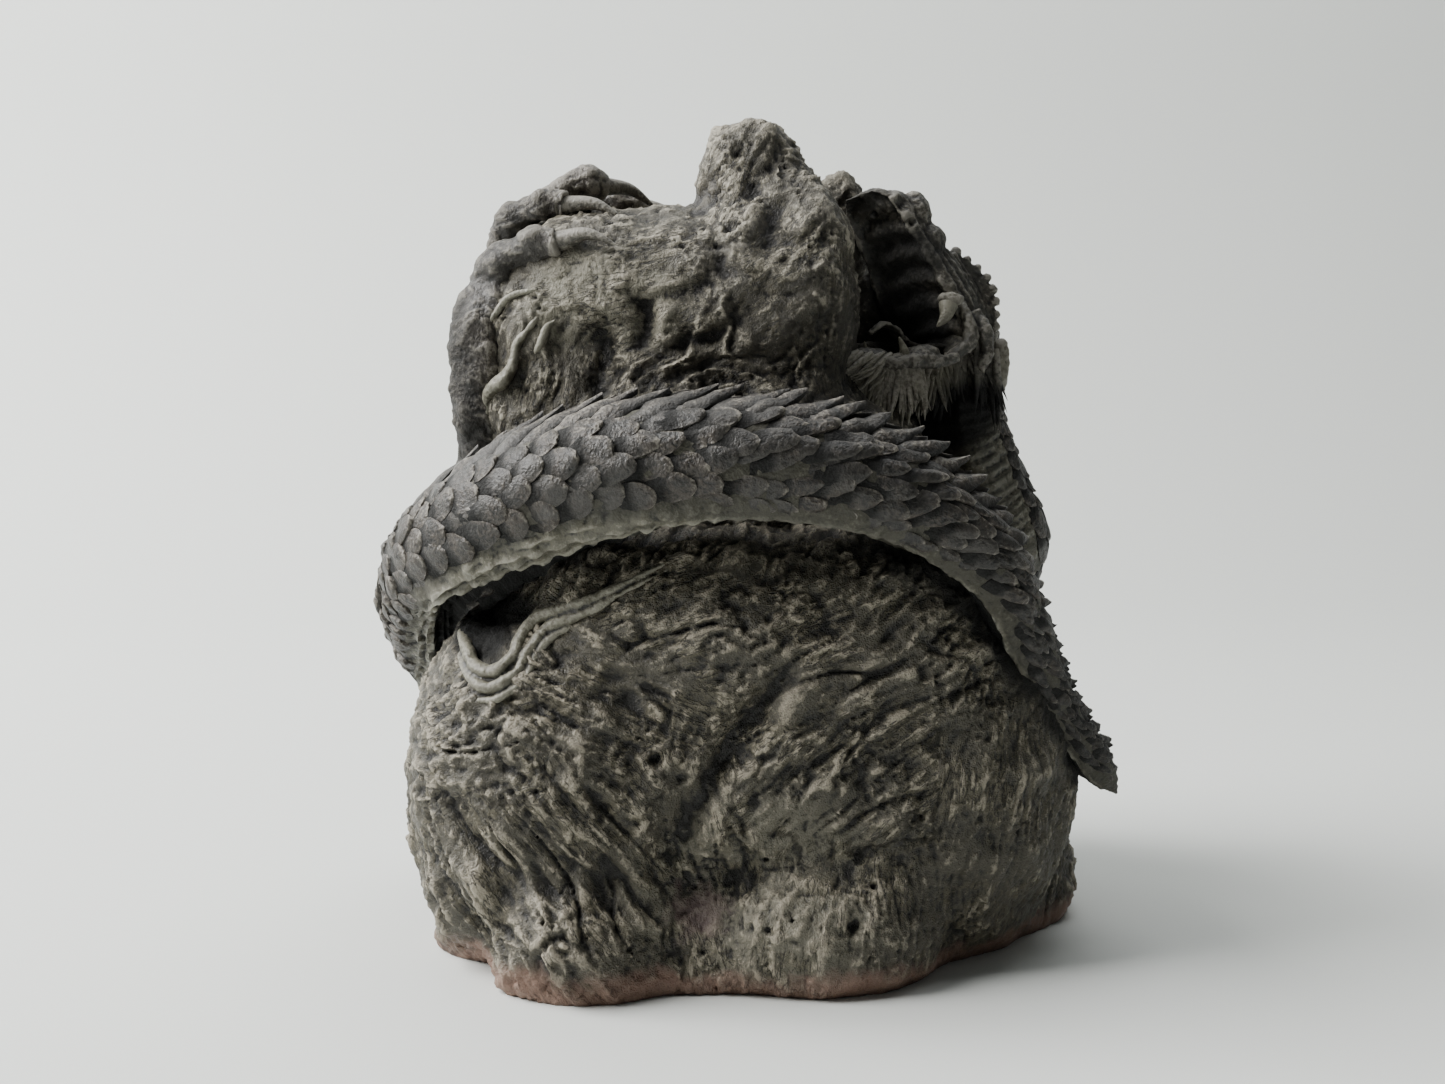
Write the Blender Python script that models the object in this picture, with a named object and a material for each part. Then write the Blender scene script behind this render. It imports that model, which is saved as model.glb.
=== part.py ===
"""A dark stoneware figurine: a scaled dragon wound about a craggy rock, modelled and fired as one piece.

Blender 4.5, metres, +Z up. The origin is on the floor under the middle of the rock. The side with the
arched tail faces -Y, the dragon's head is on the +X side, and its forepaw holds the rock's shoulder at -X.
"""

import math

import bmesh
import bpy
import numpy as np
from mathutils import Matrix, Vector, noise

# Driving dimensions, in metres. The pose and the carving are shares of the height: one unit is 1 mm
# on a figurine 280 mm high.
HEIGHT = 0.280
UNIT = HEIGHT / 280

BODY_RADIUS = 0.0200
SCALE_LENGTH = 0.0160
SCALE_RISE = 0.0016
SCALE_SWEEP = 0.0030
FIN_HEIGHT = 0.0060
CLAW_LENGTH = 0.017
FINGER_RADIUS = 0.0058
ARM_RADIUS = 0.0125
HORN_RADIUS = 0.0046
FANG_LENGTH = 0.010
BEARD_RADIUS = 0.0032
RIBBON_RADIUS = 0.0038

CLAY_COLOUR = (0.055, 0.052, 0.045, 1.0)
CLAY_ROUGHNESS = 0.62

# The rock is two masses. Each is lumps of clay pressed together: name, centre, half sizes, squareness.
BASE_LUMPS = (
    ("foot mass", (11, 4, 24), (100, 82, 124), 2.05),
    ("right lobe", (47, -27, 60), (65, 63, 74), 2.2),
    ("left lobe", (-59, -42, 58), (53, 60, 64), 2.4),
    ("middle front", (1, -46, 84), (80, 50, 61), 3.0),
    ("left toe", (-52, -66, 12), (31, 46, 30), 2.3),
    ("right toe", (22, -57, 14), (44, 48, 34), 2.15),
    ("left rear foot", (-85, -42, 8), (20, 24, 26), 2.2),
    ("right rear foot", (90, 2, 12), (27, 34, 42), 2.2),
)
BASE_HEART = (0, -12, 50)
CRAG_LUMPS = (
    ("waist", (-9, -4, 148), (74, 60, 50), 2.4),
    ("upper block", (-30, 0, 196), (56, 45, 53), 2.9),
    ("left shoulder", (-60, -4, 192), (36, 36, 49), 2.6),
    ("pillar", (11, -8, 204), (27, 37, 55), 2.8),
    ("peak", (3, -6, 246), (19, 17, 33), 2.3),
    ("second peak", (34, 25, 238), (11, 11, 27), 2.5),
    ("rear buttress", (-16, 42, 124), (66, 38, 96), 2.2),
    ("shelf behind the neck", (47, 36, 150), (32, 27, 55), 2.2),
)
CRAG_HEART = (-10, -2, 178)
LUMP_BLEND = 7.0
BASE_COLUMNS = 34
BASE_ROWS = 22
CRAG_COLUMNS = 30
CRAG_ROWS = 23
ROCK_REACH = 170.0
WEATHER_SIZES = ((34.0, 3.0), (15.0, 1.8))

# The dragon's middle line from the tip of the tail to the skull: place and share of the body radius.
SPINE = (
    ((127, -33, 49), 0.06),
    ((119, -40, 59), 0.38),
    ((108, -50, 73), 0.46),
    ((97, -59, 90), 0.54),
    ((86, -67, 112), 0.63),
    ((73, -75, 134), 0.73),
    ((46, -82, 154), 0.83),
    ((16, -87, 163), 0.91),
    ((-15, -88, 165), 0.96),
    ((-46, -85, 161), 1.00),
    ((-78, -74, 148), 1.00),
    ((-99, -52, 132), 1.00),
    ((-106, -20, 114), 1.00),
    ((-105, 14, 95), 1.03),
    ((-96, 44, 80), 1.12),
    ((-74, 70, 70), 1.20),
    ((-40, 84, 66), 1.28),
    ((0, 88, 70), 1.30),
    ((38, 82, 82), 1.24),
    ((68, 66, 97), 1.12),
    ((88, 44, 114), 0.98),
    ((94, 24, 131), 0.86),
    ((86.5, 14, 151), 0.76),
    ((78.5, 8, 172), 0.72),
    ((76, 5, 192), 0.70),
    ((78, 4, 206), 0.60),
)
SPINE_STEP = 2.0
BACK_FROM_TAIL = (0.45, 0.0, 1.0)
BACK_FROM_MIDDLE = (0.0, 0.12, 1.0)
BACK_FROM_NECK = (0.72, 0.69, 0.10)
NECK_START = 0.80
FLANK_ANGLES = (20, 45, 70, 95, 120, 143)
BELLY_FLATNESS = 0.80
FINLESS_ROWS = 3

# The two jaws, wide open. Each has its own hinge and axes: along the jaw, to the side that faces -Y, and
# to the roof or the floor of the mouth.
CROWN_FRAME = ((71.5, 4, 196), ((-0.45, -0.08, 0.89), (0.68, -0.70, 0.20), (-0.64, -0.70, -0.31)))
JAW_FRAME = ((73, 4, 199.5), ((-0.88, -0.47, 0.0), (0.45, -0.85, -0.27), (0.13, -0.24, 0.96)))
# Stations along each jaw: distance, half width, height of the outer side, depth of the mouth's side.
CROWN_STATIONS = (
    (-14, 12, 14, 6),
    (-4, 15, 18, 6),
    (8, 17, 21, 5),
    (20, 17.5, 24, 4),
    (32, 16, 22, 2),
    (42, 14.5, 18, 1),
    (50, 13.5, 16, 1),
    (58, 13, 14, 2),
    (62.5, 11, 10, 4),
    (66, 7, 5, 7),
)
JAW_STATIONS = (
    (-8, 12, 10, 7),
    (6, 13, 11, 2),
    (18, 13, 11, -2),
    (32, 12.5, 10, -3),
    (44, 11, 8, -2),
    (52, 7, 5, 1),
)
LIP_SHARE = 0.3
ROOF_RISE = 1.0
# Lumps pressed onto the head, each a centre and half sizes: nostrils, snout, eyes, ear and far cheek.
HEAD_LUMPS = (
    ((59, 1, 247), (6, 7, 8.5)),
    ((52, 7, 245.5), (6, 7, 8.5)),
    ((64.5, 0, 237), (6, 7, 7)),
    ((56, 9, 234.5), (6, 7, 7)),
    ((77, 11, 224), (4.5, 4.5, 4.5)),
    ((69, 19, 222), (4.5, 4.5, 4.5)),
    ((90, -1, 195), (3.2, 3, 9)),
    ((56, 18, 212), (18, 5, 21)),
)
# The frill over each brow: distance along the crown, and how far it stands out. Each frill has its turn
# from the near lip, in degrees, and its number of beads.
BROW_FRILL = ((34, 1.0), (27, 2.6), (18, 3.8), (9, 3.2), (2, 1.2))
FRILL_THICKNESS = 0.0030
FRILLS = ((52, 8), (128, 4))
BEAD_RADIUS = 0.0021
CHEEK_FOLD = ((75, -7, 214), (77.5, -10, 207), (75, -12, 200.5), (66, -14, 197))
CHEEK_RADIUS = 0.0034
UPPER_FANGS = ((18, 15, 1), (38, -12, 0), (54, -9, 1))
LOWER_FANGS = ((31, 11.5, -1), (44, 9.5, 0))
TONGUE = ((2, 0, 2), (12, 0, 1.5), (21, 0, 3), (27, -0.5, 8), (31, -1, 9.5), (35, -1, 7))
TONGUE_RADIUS = 0.0060
BEARD_STRANDS = 9
BEARD_LENGTH = 0.017
MANE_STRANDS = 6
MANE_LENGTH = 0.030
HORNS = (
    ((76, 8, 214), (86, 20, 217), (91, 31, 206), (94, 42, 188), (96, 52, 172)),
    ((66, 10, 220), (74, 26, 222), (80, 40, 212), (83, 52, 196), (86, 62, 180)),
)

# Legs: the arm's route from the body to the palm, then one route for each finger; a claw ends each finger.
FRONT_PAW_ARM = ((-82, 42, 92), (-89, 24, 138), (-91, 6, 172), (-93, -8, 202), (-84, -12, 222))
FRONT_PAW_FINGERS = (
    ((-92, -16, 214), (-84, -24, 228), (-72, -31, 234), (-62, -35, 236)),
    ((-88, -4, 224), (-80, -8, 243), (-70, -14, 249), (-61, -17, 249)),
    ((-80, 6, 232), (-68, 8, 251), (-58, 10, 259), (-50, 14, 258)),
    ((-70, 18, 228), (-58, 26, 248), (-46, 28, 254), (-38, 28, 252)),
)
REAR_PAW_ARM = ((78, 58, 112), (70, 62, 150), (52, 52, 186), (36, 44, 212))
REAR_PAW_FINGERS = (
    ((40, 44, 204), (30, 44, 224), (18, 36, 236), (8, 30, 240)),
    ((34, 46, 204), (18, 48, 220), (4, 42, 230), (-7, 36, 233)),
    ((30, 46, 200), (12, 50, 208), (-4, 48, 215), (-15, 44, 218)),
)
HIND_LEG_ARM = ((-40, 84, 66), (-62, 88, 50), (-74, 78, 34), (-66, 74, 22))
HIND_LEG_FINGERS = (
    ((-68, 72, 22), (-80, 68, 17), (-89, 58, 12), (-94, 48, 8)),
    ((-64, 76, 20), (-71, 78, 14), (-78, 73, 9), (-84, 66, 7)),
    ((-58, 80, 20), (-57, 87, 14), (-60, 86, 9), (-64, 82, 6)),
)
OTHER_HIND_LEG_ARM = ((36, 82, 78), (60, 86, 58), (72, 76, 40), (64, 74, 26))
OTHER_HIND_LEG_FINGERS = (
    ((66, 72, 26), (80, 68, 20), (90, 58, 14), (96, 48, 10)),
    ((62, 76, 24), (71, 78, 17), (79, 73, 11), (86, 66, 8)),
    ((56, 80, 24), (56, 87, 17), (60, 86, 11), (65, 82, 7)),
)

# Tufts that lie on the rock, as places across its front face (x, z).
UPPER_TUFT = ((-66, 214), (-74, 205), (-75, 197), (-79, 190), (-86, 184), (-88, 174))
LOWER_TUFT = ((-25, 133), (-40, 128), (-53, 121), (-67, 117), (-74, 108), (-79, 98), (-88, 96), (-97, 103))


def units(values):
    """Shares of the height as metres."""
    return np.asarray(values, float) * UNIT


def clay():
    """The fired clay: nearly black, matt."""
    material = bpy.data.materials.new("dark_stoneware")
    material.use_nodes = True
    shader = material.node_tree.nodes["Principled BSDF"]
    shader.inputs["Base Color"].default_value = CLAY_COLOUR
    shader.inputs["Roughness"].default_value = CLAY_ROUGHNESS
    return material


def mesh_object(name, points, faces, collection):
    """A mesh object from points in metres, with its faces turned outwards."""
    mesh = bpy.data.meshes.new(name)
    mesh.from_pydata([tuple(p) for p in points], [], faces)
    shape = bmesh.new()
    shape.from_mesh(mesh)
    bmesh.ops.recalc_face_normals(shape, faces=shape.faces[:])
    shape.to_mesh(mesh)
    shape.free()
    made = bpy.data.objects.new(name, mesh)
    collection.objects.link(made)
    return made


def loft(name, rings, collection):
    """A closed solid through rings of equally many points, with its two ends closed."""
    count = len(rings[0])
    points = np.concatenate(rings)
    faces = []
    for ring in range(len(rings) - 1):
        for side in range(count):
            following = (side + 1) % count
            a, b = ring * count + side, ring * count + following
            faces.append((a, b, b + count, a + count))
    faces.append(tuple(range(count)))
    faces.append(tuple(range((len(rings) - 1) * count, len(rings) * count)))
    return mesh_object(name, points, faces, collection)


def smooth_line(points, per_span):
    """A smooth line through the points, with per_span steps in each span."""
    points = np.asarray(points, float)
    padded = np.vstack([2 * points[0] - points[1], points, 2 * points[-1] - points[-2]])
    steps = (np.arange(per_span) / per_span)[:, None]
    line = []
    for span in range(len(points) - 1):
        before, start, end, after = padded[span : span + 4]
        straight = 2 * start + (end - before) * steps
        square = (2 * before - 5 * start + 4 * end - after) * steps**2
        cube = (3 * start - before - 3 * end + after) * steps**3
        line.append((straight + square + cube) / 2)
    return np.vstack([*line, points[-1:]])


def tube(name, points, radii, sides, collection):
    """A tube of changing radius along a route in metres, from a curve with a bevel, as a closed mesh."""
    curve = bpy.data.curves.new(name, "CURVE")
    curve.dimensions = "3D"
    curve.bevel_depth = 1.0
    curve.bevel_resolution = max(0, sides // 2 - 2)
    curve.use_fill_caps = True
    spline = curve.splines.new("POLY")
    spline.points.add(len(points) - 1)
    for point, place, radius in zip(spline.points, points, radii):
        point.co = (*place, 1.0)
        point.radius = radius
    guide = bpy.data.objects.new(name, curve)
    collection.objects.link(guide)
    bpy.context.view_layer.update()
    mesh = bpy.data.meshes.new_from_object(guide.evaluated_get(bpy.context.evaluated_depsgraph_get()))
    bpy.data.objects.remove(guide)
    shape = bmesh.new()
    shape.from_mesh(mesh)
    bmesh.ops.remove_doubles(shape, verts=shape.verts[:], dist=1e-6)
    bmesh.ops.recalc_face_normals(shape, faces=shape.faces[:])
    shape.to_mesh(mesh)
    shape.free()
    made = bpy.data.objects.new(name, mesh)
    collection.objects.link(made)
    return made


def lump_distance(points, centre, half_sizes, squareness):
    """About how far each point is outside one rounded lump, in units."""
    local = np.abs((points - np.array(centre, float)) / np.array(half_sizes, float))
    reach = (local**squareness).sum(axis=1) ** (1 / squareness)
    return (reach - 1) * min(half_sizes)


def lumps_distance(lumps, points):
    """How far each point is outside a mass of lumps, in units, with the lumps blended into each other."""
    total = np.full(len(points), 1e6)
    for _, centre, half_sizes, squareness in lumps:
        lump = lump_distance(points, centre, half_sizes, squareness)
        mix = np.clip(0.5 + 0.5 * (total - lump) / LUMP_BLEND, 0, 1)
        total = total * (1 - mix) + lump * mix - LUMP_BLEND * mix * (1 - mix)
    return total


def reach_of(lumps, starts, directions):
    """How far along each direction the lumps' surface lies, coming in from outside."""
    steps = 80
    found = np.zeros(len(directions))
    still_outside = np.ones(len(directions), bool)
    for step in range(steps):
        along = ROCK_REACH * (1 - step / steps)
        inside = lumps_distance(lumps, starts + directions * along) < 0
        found[inside & still_outside] = along
        still_outside &= ~inside
    low, high = found, found + ROCK_REACH / steps
    for _ in range(12):
        middle = (low + high) / 2
        inside = lumps_distance(lumps, starts + directions * middle[:, None]) < 0
        low = np.where(inside, middle, low)
        high = np.where(inside, high, middle)
    return low


def weather(point):
    """The depth of the broad breaks and hollows at a place on the rock, in units."""
    depth = 0.0
    for size, strength in WEATHER_SIZES:
        depth += strength * noise.noise(Vector(point) / size)
    return depth


def front_of_rock(x, z):
    """The place on the rock's front face straight behind (x, z), in units."""
    start = np.array([[x, 0.0, z]])
    outward = np.array([[0.0, -1.0, 0.0]])
    reach = max(reach_of(lumps, start, outward)[0] for lumps in (BASE_LUMPS, CRAG_LUMPS))
    return np.array([x, -reach, z])


def make_rock(name, lumps, heart, columns, rows, collection):
    """A mass of rock: a ball whose points are moved out to the blended lumps, then weathered."""
    shape = bmesh.new()
    bmesh.ops.create_uvsphere(shape, u_segments=columns, v_segments=rows, radius=1.0)
    directions = np.array([vertex.co[:] for vertex in shape.verts])
    directions /= np.linalg.norm(directions, axis=1)[:, None]
    heart = np.array(heart, float)
    lengths = reach_of(lumps, heart, directions)
    places = heart + directions * lengths[:, None]
    for vertex, place, direction in zip(shape.verts, places, directions):
        vertex.co = units(place + direction * weather(place))
    mesh = bpy.data.meshes.new(name)
    shape.to_mesh(mesh)
    shape.free()
    rock = bpy.data.objects.new(name, mesh)
    collection.objects.link(rock)
    return rock


def spine_frames():
    """Evenly spaced places along the dragon, with the tangent, the back's direction and the radius."""
    line = smooth_line([(*place, share) for place, share in SPINE], 24)
    steps = np.linalg.norm(np.diff(line[:, :3], axis=0), axis=1)
    along = np.concatenate([[0], np.cumsum(steps)])
    count = int(along[-1] / SPINE_STEP)
    marks = np.linspace(0, along[-1], count)
    line = np.column_stack([np.interp(marks, along, line[:, axis]) for axis in range(4)])
    tangents = np.gradient(line[:, :3], axis=0)
    tangents /= np.linalg.norm(tangents, axis=1)[:, None]
    part = marks / along[-1]
    tail = np.clip(1 - part / 0.35, 0, 1)[:, None]
    neck = np.clip((part - NECK_START) / 0.12, 0, 1)[:, None]
    wanted = np.array(BACK_FROM_MIDDLE) * (1 - tail) * (1 - neck)
    wanted = wanted + np.array(BACK_FROM_TAIL) * tail + np.array(BACK_FROM_NECK) * neck
    backs = wanted - tangents * (wanted * tangents).sum(axis=1)[:, None]
    backs /= np.linalg.norm(backs, axis=1)[:, None]
    return marks * UNIT, line[:, :3] * UNIT, tangents, backs, line[:, 3] * BODY_RADIUS


def body_ring(place, tangent, back, radius, odd, finned):
    """One ring of the scaled body: the crest, the flanks and the flat belly.

    Every second point stands out as the tip of a scale and is swept towards the tail, and the next ring
    has its tips between these, so the scales overlap in a staggered net.
    """
    side = np.cross(tangent, back)
    share = min(1.0, radius / BODY_RADIUS)
    fin = finned and not odd
    crest = FIN_HEIGHT * share if fin else 0.0
    ring = [place + back * (radius + crest) - tangent * (crest * 0.8)]
    for sign in (1, -1):
        flank = []
        for number, angle in enumerate(FLANK_ANGLES):
            tip = (number + odd) % 2 == 1
            reach = radius + (SCALE_RISE * share if tip else 0.0)
            sweep = SCALE_SWEEP * share if tip else 0.0
            turn = math.radians(angle)
            down = max(math.cos(turn) * reach, -BELLY_FLATNESS * radius)
            point = place + back * down + side * sign * math.sin(turn) * reach - tangent * sweep
            flank.append(point)
        ring += flank if sign == 1 else flank[::-1]
        if sign == 1:
            ring.append(place - back * radius * BELLY_FLATNESS)
    return np.array(ring)


def make_body(collection):
    """The dragon's body: a staggered net of overlapping scales, a toothed crest and a flat belly."""
    marks, places, tangents, backs, radii = spine_frames()
    rings = []
    mark = 0.0
    while mark < marks[-1]:
        index = int(np.searchsorted(marks, mark))
        station = (places[index], tangents[index], backs[index], radii[index])
        rings.append(body_ring(*station, len(rings) % 2, len(rings) >= FINLESS_ROWS))
        share = min(1.0, radii[index] / BODY_RADIUS)
        mark += SCALE_LENGTH / 2 * (0.4 + 0.6 * share)
    return loft("body", rings, collection)


def head_place(frame, along, aside, inward):
    """A place in the head, in metres, from distances along a jaw's own axes."""
    hinge, axes = frame
    return units(np.array(hinge, float) + np.array([along, aside, inward], float) @ np.array(axes))


def crown_place(along, turn, lift):
    """A place over the crown's outer side: distance along it, turn from the near lip, lift in units."""
    stations = np.array(CROWN_STATIONS, float)
    section = [np.interp(along, stations[:, 0], stations[:, column]) for column in (1, 2, 3)]
    half_width, height, depth = section
    turn = math.radians(turn)
    aside = (half_width + lift) * math.cos(turn)
    return head_place(CROWN_FRAME, along, aside, depth * LIP_SHARE - (height + lift) * math.sin(turn))


def make_jaw(name, frame, stations, collection):
    """One jaw, lofted through sections with a rounded outer side and a hollowed mouth side."""
    outer = [math.radians(angle) for angle in range(0, 181, 20)]
    rings = []
    for along, half_width, height, depth in stations:
        lip = depth * LIP_SHARE
        ring = [
            head_place(frame, along, half_width * math.cos(turn), lip - height * math.sin(turn))
            for turn in outer
        ]
        for share in (-0.55, 0.0, 0.55):
            roof = depth + (lip - depth) * abs(share) + ROOF_RISE
            ring.append(head_place(frame, along, half_width * share, roof))
        rings.append(np.array(ring))
    return loft(name, rings, collection)


def lump(name, centre, half_sizes, detail, collection):
    """A small rounded lump, as pressed on for a nostril or an ear, in metres."""
    shape = bmesh.new()
    place = Matrix.Translation(centre) @ Matrix.Diagonal((*half_sizes, 1.0))
    bmesh.ops.create_icosphere(shape, subdivisions=detail, radius=1.0, matrix=place)
    mesh = bpy.data.meshes.new(name)
    shape.to_mesh(mesh)
    shape.free()
    made = bpy.data.objects.new(name, mesh)
    collection.objects.link(made)
    return made


def spike(name, root, direction, length, radius, sides, collection):
    """A pointed cone, as for a tooth or a tuft, with its root sunk into the clay it grows from."""
    root = np.asarray(root, float)
    direction = np.asarray(direction, float) / np.linalg.norm(direction)
    points = [root - direction * radius, root + direction * length * 0.4, root + direction * length]
    return tube(name, points, [radius, radius * 0.8, radius * 0.12], sides, collection)


def make_frill(turn, beads, collection):
    """The leaf over a brow, with a row of beads along its edge."""
    line = smooth_line(BROW_FRILL, 2)
    half_turn = math.degrees(FRILL_THICKNESS / BODY_RADIUS)
    rings = []
    for along, stand_out in line:
        corners = ((-half_turn, -3), (-half_turn / 2, stand_out), (half_turn / 2, stand_out), (half_turn, -3))
        rings.append(np.array([crown_place(along, turn + side, lift) for side, lift in corners]))
    pieces = [loft("frill", rings, collection)]
    for share in np.linspace(0, len(line) - 1, beads):
        along, stand_out = (np.interp(share, range(len(line)), line[:, column]) for column in (0, 1))
        centre = crown_place(along, turn, stand_out)
        pieces.append(lump("bead", centre, (BEAD_RADIUS,) * 3, 1, collection))
    return pieces


def make_head(collection):
    """The head: both jaws wide open, nostrils and brows, cheeks, fangs, tongue, beard, mane and horns."""
    pieces = [
        make_jaw("crown", CROWN_FRAME, CROWN_STATIONS, collection),
        make_jaw("jaw", JAW_FRAME, JAW_STATIONS, collection),
    ]
    for centre, half_sizes in HEAD_LUMPS:
        pieces.append(lump("lump", units(centre), units(half_sizes), 2, collection))
    for turn, beads in FRILLS:
        pieces += make_frill(turn, beads, collection)
    fold = smooth_line(units(CHEEK_FOLD), 2)
    pieces.append(tube("cheek", fold, np.full(len(fold), CHEEK_RADIUS), 6, collection))
    for frame, fangs in ((CROWN_FRAME, UPPER_FANGS), (JAW_FRAME, LOWER_FANGS)):
        axes = np.array(frame[1])
        direction = axes[2] - 0.15 * axes[0]
        for place in fangs:
            root = head_place(frame, *place)
            pieces.append(spike("fang", root, direction, FANG_LENGTH, FANG_LENGTH * 0.28, 6, collection))
    tongue = smooth_line([head_place(JAW_FRAME, *place) for place in TONGUE], 2)
    radii = TONGUE_RADIUS * np.linspace(1.0, 0.35, len(tongue))
    pieces.append(tube("tongue", tongue, radii, 6, collection))
    pieces += make_beard(collection)
    for route in HORNS:
        line = smooth_line(units(route), 3)
        radii = HORN_RADIUS * np.linspace(1.0, 0.15, len(line))
        pieces.append(tube("horn", line, radii, 6, collection))
    return pieces


def make_beard(collection):
    """Tufts that fan down from the lower jaw, and longer ones that sweep back along the neck."""
    pieces = []
    ahead, _, inward = np.array(JAW_FRAME[1])
    for share in np.linspace(0, 1, BEARD_STRANDS):
        root = head_place(JAW_FRAME, 46 - 44 * share, 9.5 + 2 * math.sin(math.pi * share), -4)
        direction = ahead * (0.7 - 1.1 * share) - inward + (0.0, 0.0, -0.5)
        length = BEARD_LENGTH * (0.9 + 0.2 * math.sin(3 * math.pi * share))
        pieces.append(spike("beard", root, direction, length, BEARD_RADIUS, 4, collection))
    for share in np.linspace(0, 1, MANE_STRANDS):
        root = units((85 - 2 * share, -8 + 26 * share, 196 - 3 * share))
        direction = (0.12, 0.15 + 0.3 * share, -0.95)
        pieces.append(spike("mane", root, direction, MANE_LENGTH, BEARD_RADIUS * 1.2, 4, collection))
    return pieces


def make_leg(name, arm, fingers, collection):
    """A leg with its fingers, each knuckled and ending in a curved claw."""
    line = smooth_line(units(arm), 2)
    radii = ARM_RADIUS * np.linspace(1.0, 0.8, len(line))
    pieces = [tube(name, line, radii, 6, collection)]
    for finger in fingers:
        route = np.array(finger, float)
        heading = route[-1] - route[-2]
        heading = heading / np.linalg.norm(heading)
        tip = units(route[-1]) + (heading + np.array([0, 0, -0.28])) * CLAW_LENGTH
        middle = units(route[-1]) + (heading + np.array([0, 0, -0.06])) * CLAW_LENGTH * 0.5
        places = np.vstack([units(route), middle, tip])
        radii = FINGER_RADIUS * np.array([1.05, 1.18, 1.0, 0.82, 0.55, 0.12])
        pieces.append(tube(name + " finger", places, radii, 6, collection))
    return pieces


def make_tuft(name, route, collection):
    """A wavy flame of hair lying on the rock's front face."""
    places = units([front_of_rock(x, z) for x, z in route])
    line = smooth_line(places, 2)
    swell = np.sin(np.linspace(0.25, math.pi - 0.25, len(line)))
    return tube(name, line, RIBBON_RADIUS * (0.45 + 0.55 * swell), 6, collection)


def floor_cutter(collection):
    """A block under the floor's surface that cuts the foot flat."""
    shape = bmesh.new()
    bmesh.ops.create_cube(shape, size=2 * HEIGHT, matrix=Matrix.Translation((0, 0, -HEIGHT)))
    mesh = bpy.data.meshes.new("floor block")
    shape.to_mesh(mesh)
    shape.free()
    block = bpy.data.objects.new("floor block", mesh)
    collection.objects.link(block)
    return block


def without_pockets(figure):
    """Takes the figure's joined mesh as triangles, and fills the air pockets closed inside the clay."""
    graph = bpy.context.evaluated_depsgraph_get()
    mesh = bpy.data.meshes.new_from_object(figure.evaluated_get(graph))
    shape = bmesh.new()
    shape.from_mesh(mesh)
    waiting = set(shape.verts)
    while waiting:
        found = {waiting.pop()}
        edge_of_search = list(found)
        while edge_of_search:
            vertex = edge_of_search.pop()
            for edge in vertex.link_edges:
                other = edge.other_vert(vertex)
                if other not in found:
                    found.add(other)
                    edge_of_search.append(other)
        waiting -= found
        faces = {face for vertex in found for face in vertex.link_faces}
        volume = sum(face.calc_center_median().dot(face.normal) * face.calc_area() for face in faces) / 3
        if volume < 0:
            bmesh.ops.delete(shape, geom=list(found), context="VERTS")
    bmesh.ops.triangulate(shape, faces=shape.faces[:])
    shape.to_mesh(mesh)
    shape.free()
    figure.modifiers.clear()
    figure.data = mesh


def hidden(pieces):
    """Marks the pieces as helpers, which the render leaves out."""
    for piece in pieces:
        piece.hide_render = True
        piece.display_type = "WIRE"


def main():
    """Models the figurine: the rock, the dragon pressed onto it, and the foot cut flat."""
    for old in list(bpy.data.objects):
        bpy.data.objects.remove(old)
    figurine = bpy.data.collections.new("dragon_figurine")
    pressed_on = bpy.data.collections.new("clay_pressed_on")
    cutters = bpy.data.collections.new("cutters")
    for collection in (figurine, pressed_on, cutters):
        bpy.context.scene.collection.children.link(collection)

    rock = make_rock("dragon_on_rock", BASE_LUMPS, BASE_HEART, BASE_COLUMNS, BASE_ROWS, figurine)
    rock.data.materials.append(clay())
    pieces = [make_rock("crag", CRAG_LUMPS, CRAG_HEART, CRAG_COLUMNS, CRAG_ROWS, pressed_on)]
    pieces.append(make_body(pressed_on))
    pieces += make_head(pressed_on)
    pieces += make_leg("front paw", FRONT_PAW_ARM, FRONT_PAW_FINGERS, pressed_on)
    pieces += make_leg("rear paw", REAR_PAW_ARM, REAR_PAW_FINGERS, pressed_on)
    pieces += make_leg("hind leg", HIND_LEG_ARM, HIND_LEG_FINGERS, pressed_on)
    pieces += make_leg("other hind leg", OTHER_HIND_LEG_ARM, OTHER_HIND_LEG_FINGERS, pressed_on)
    pieces.append(make_tuft("upper tuft", UPPER_TUFT, pressed_on))
    pieces.append(make_tuft("lower tuft", LOWER_TUFT, pressed_on))
    hidden(pieces)
    block = floor_cutter(cutters)
    hidden([block])

    joined = rock.modifiers.new("pressed on", "BOOLEAN")
    joined.operation = "UNION"
    joined.operand_type = "COLLECTION"
    joined.collection = pressed_on
    flat = rock.modifiers.new("foot", "BOOLEAN")
    flat.operation = "DIFFERENCE"
    flat.object = block
    bpy.context.view_layer.update()
    without_pockets(rock)


main()
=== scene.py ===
"""The look of a dark stoneware figurine: a scaled dragon wound about a craggy rock, fired as one piece.

The forms repeat the named sizes of the figurine's solid. One unit is a 279th of its height, about 1 mm.
"""

import itertools
import logging
import math
from dataclasses import dataclass
from enum import Enum
from functools import partial
from typing import Callable, Sequence

import bpy
import numpy as np
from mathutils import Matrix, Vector, noise


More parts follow.
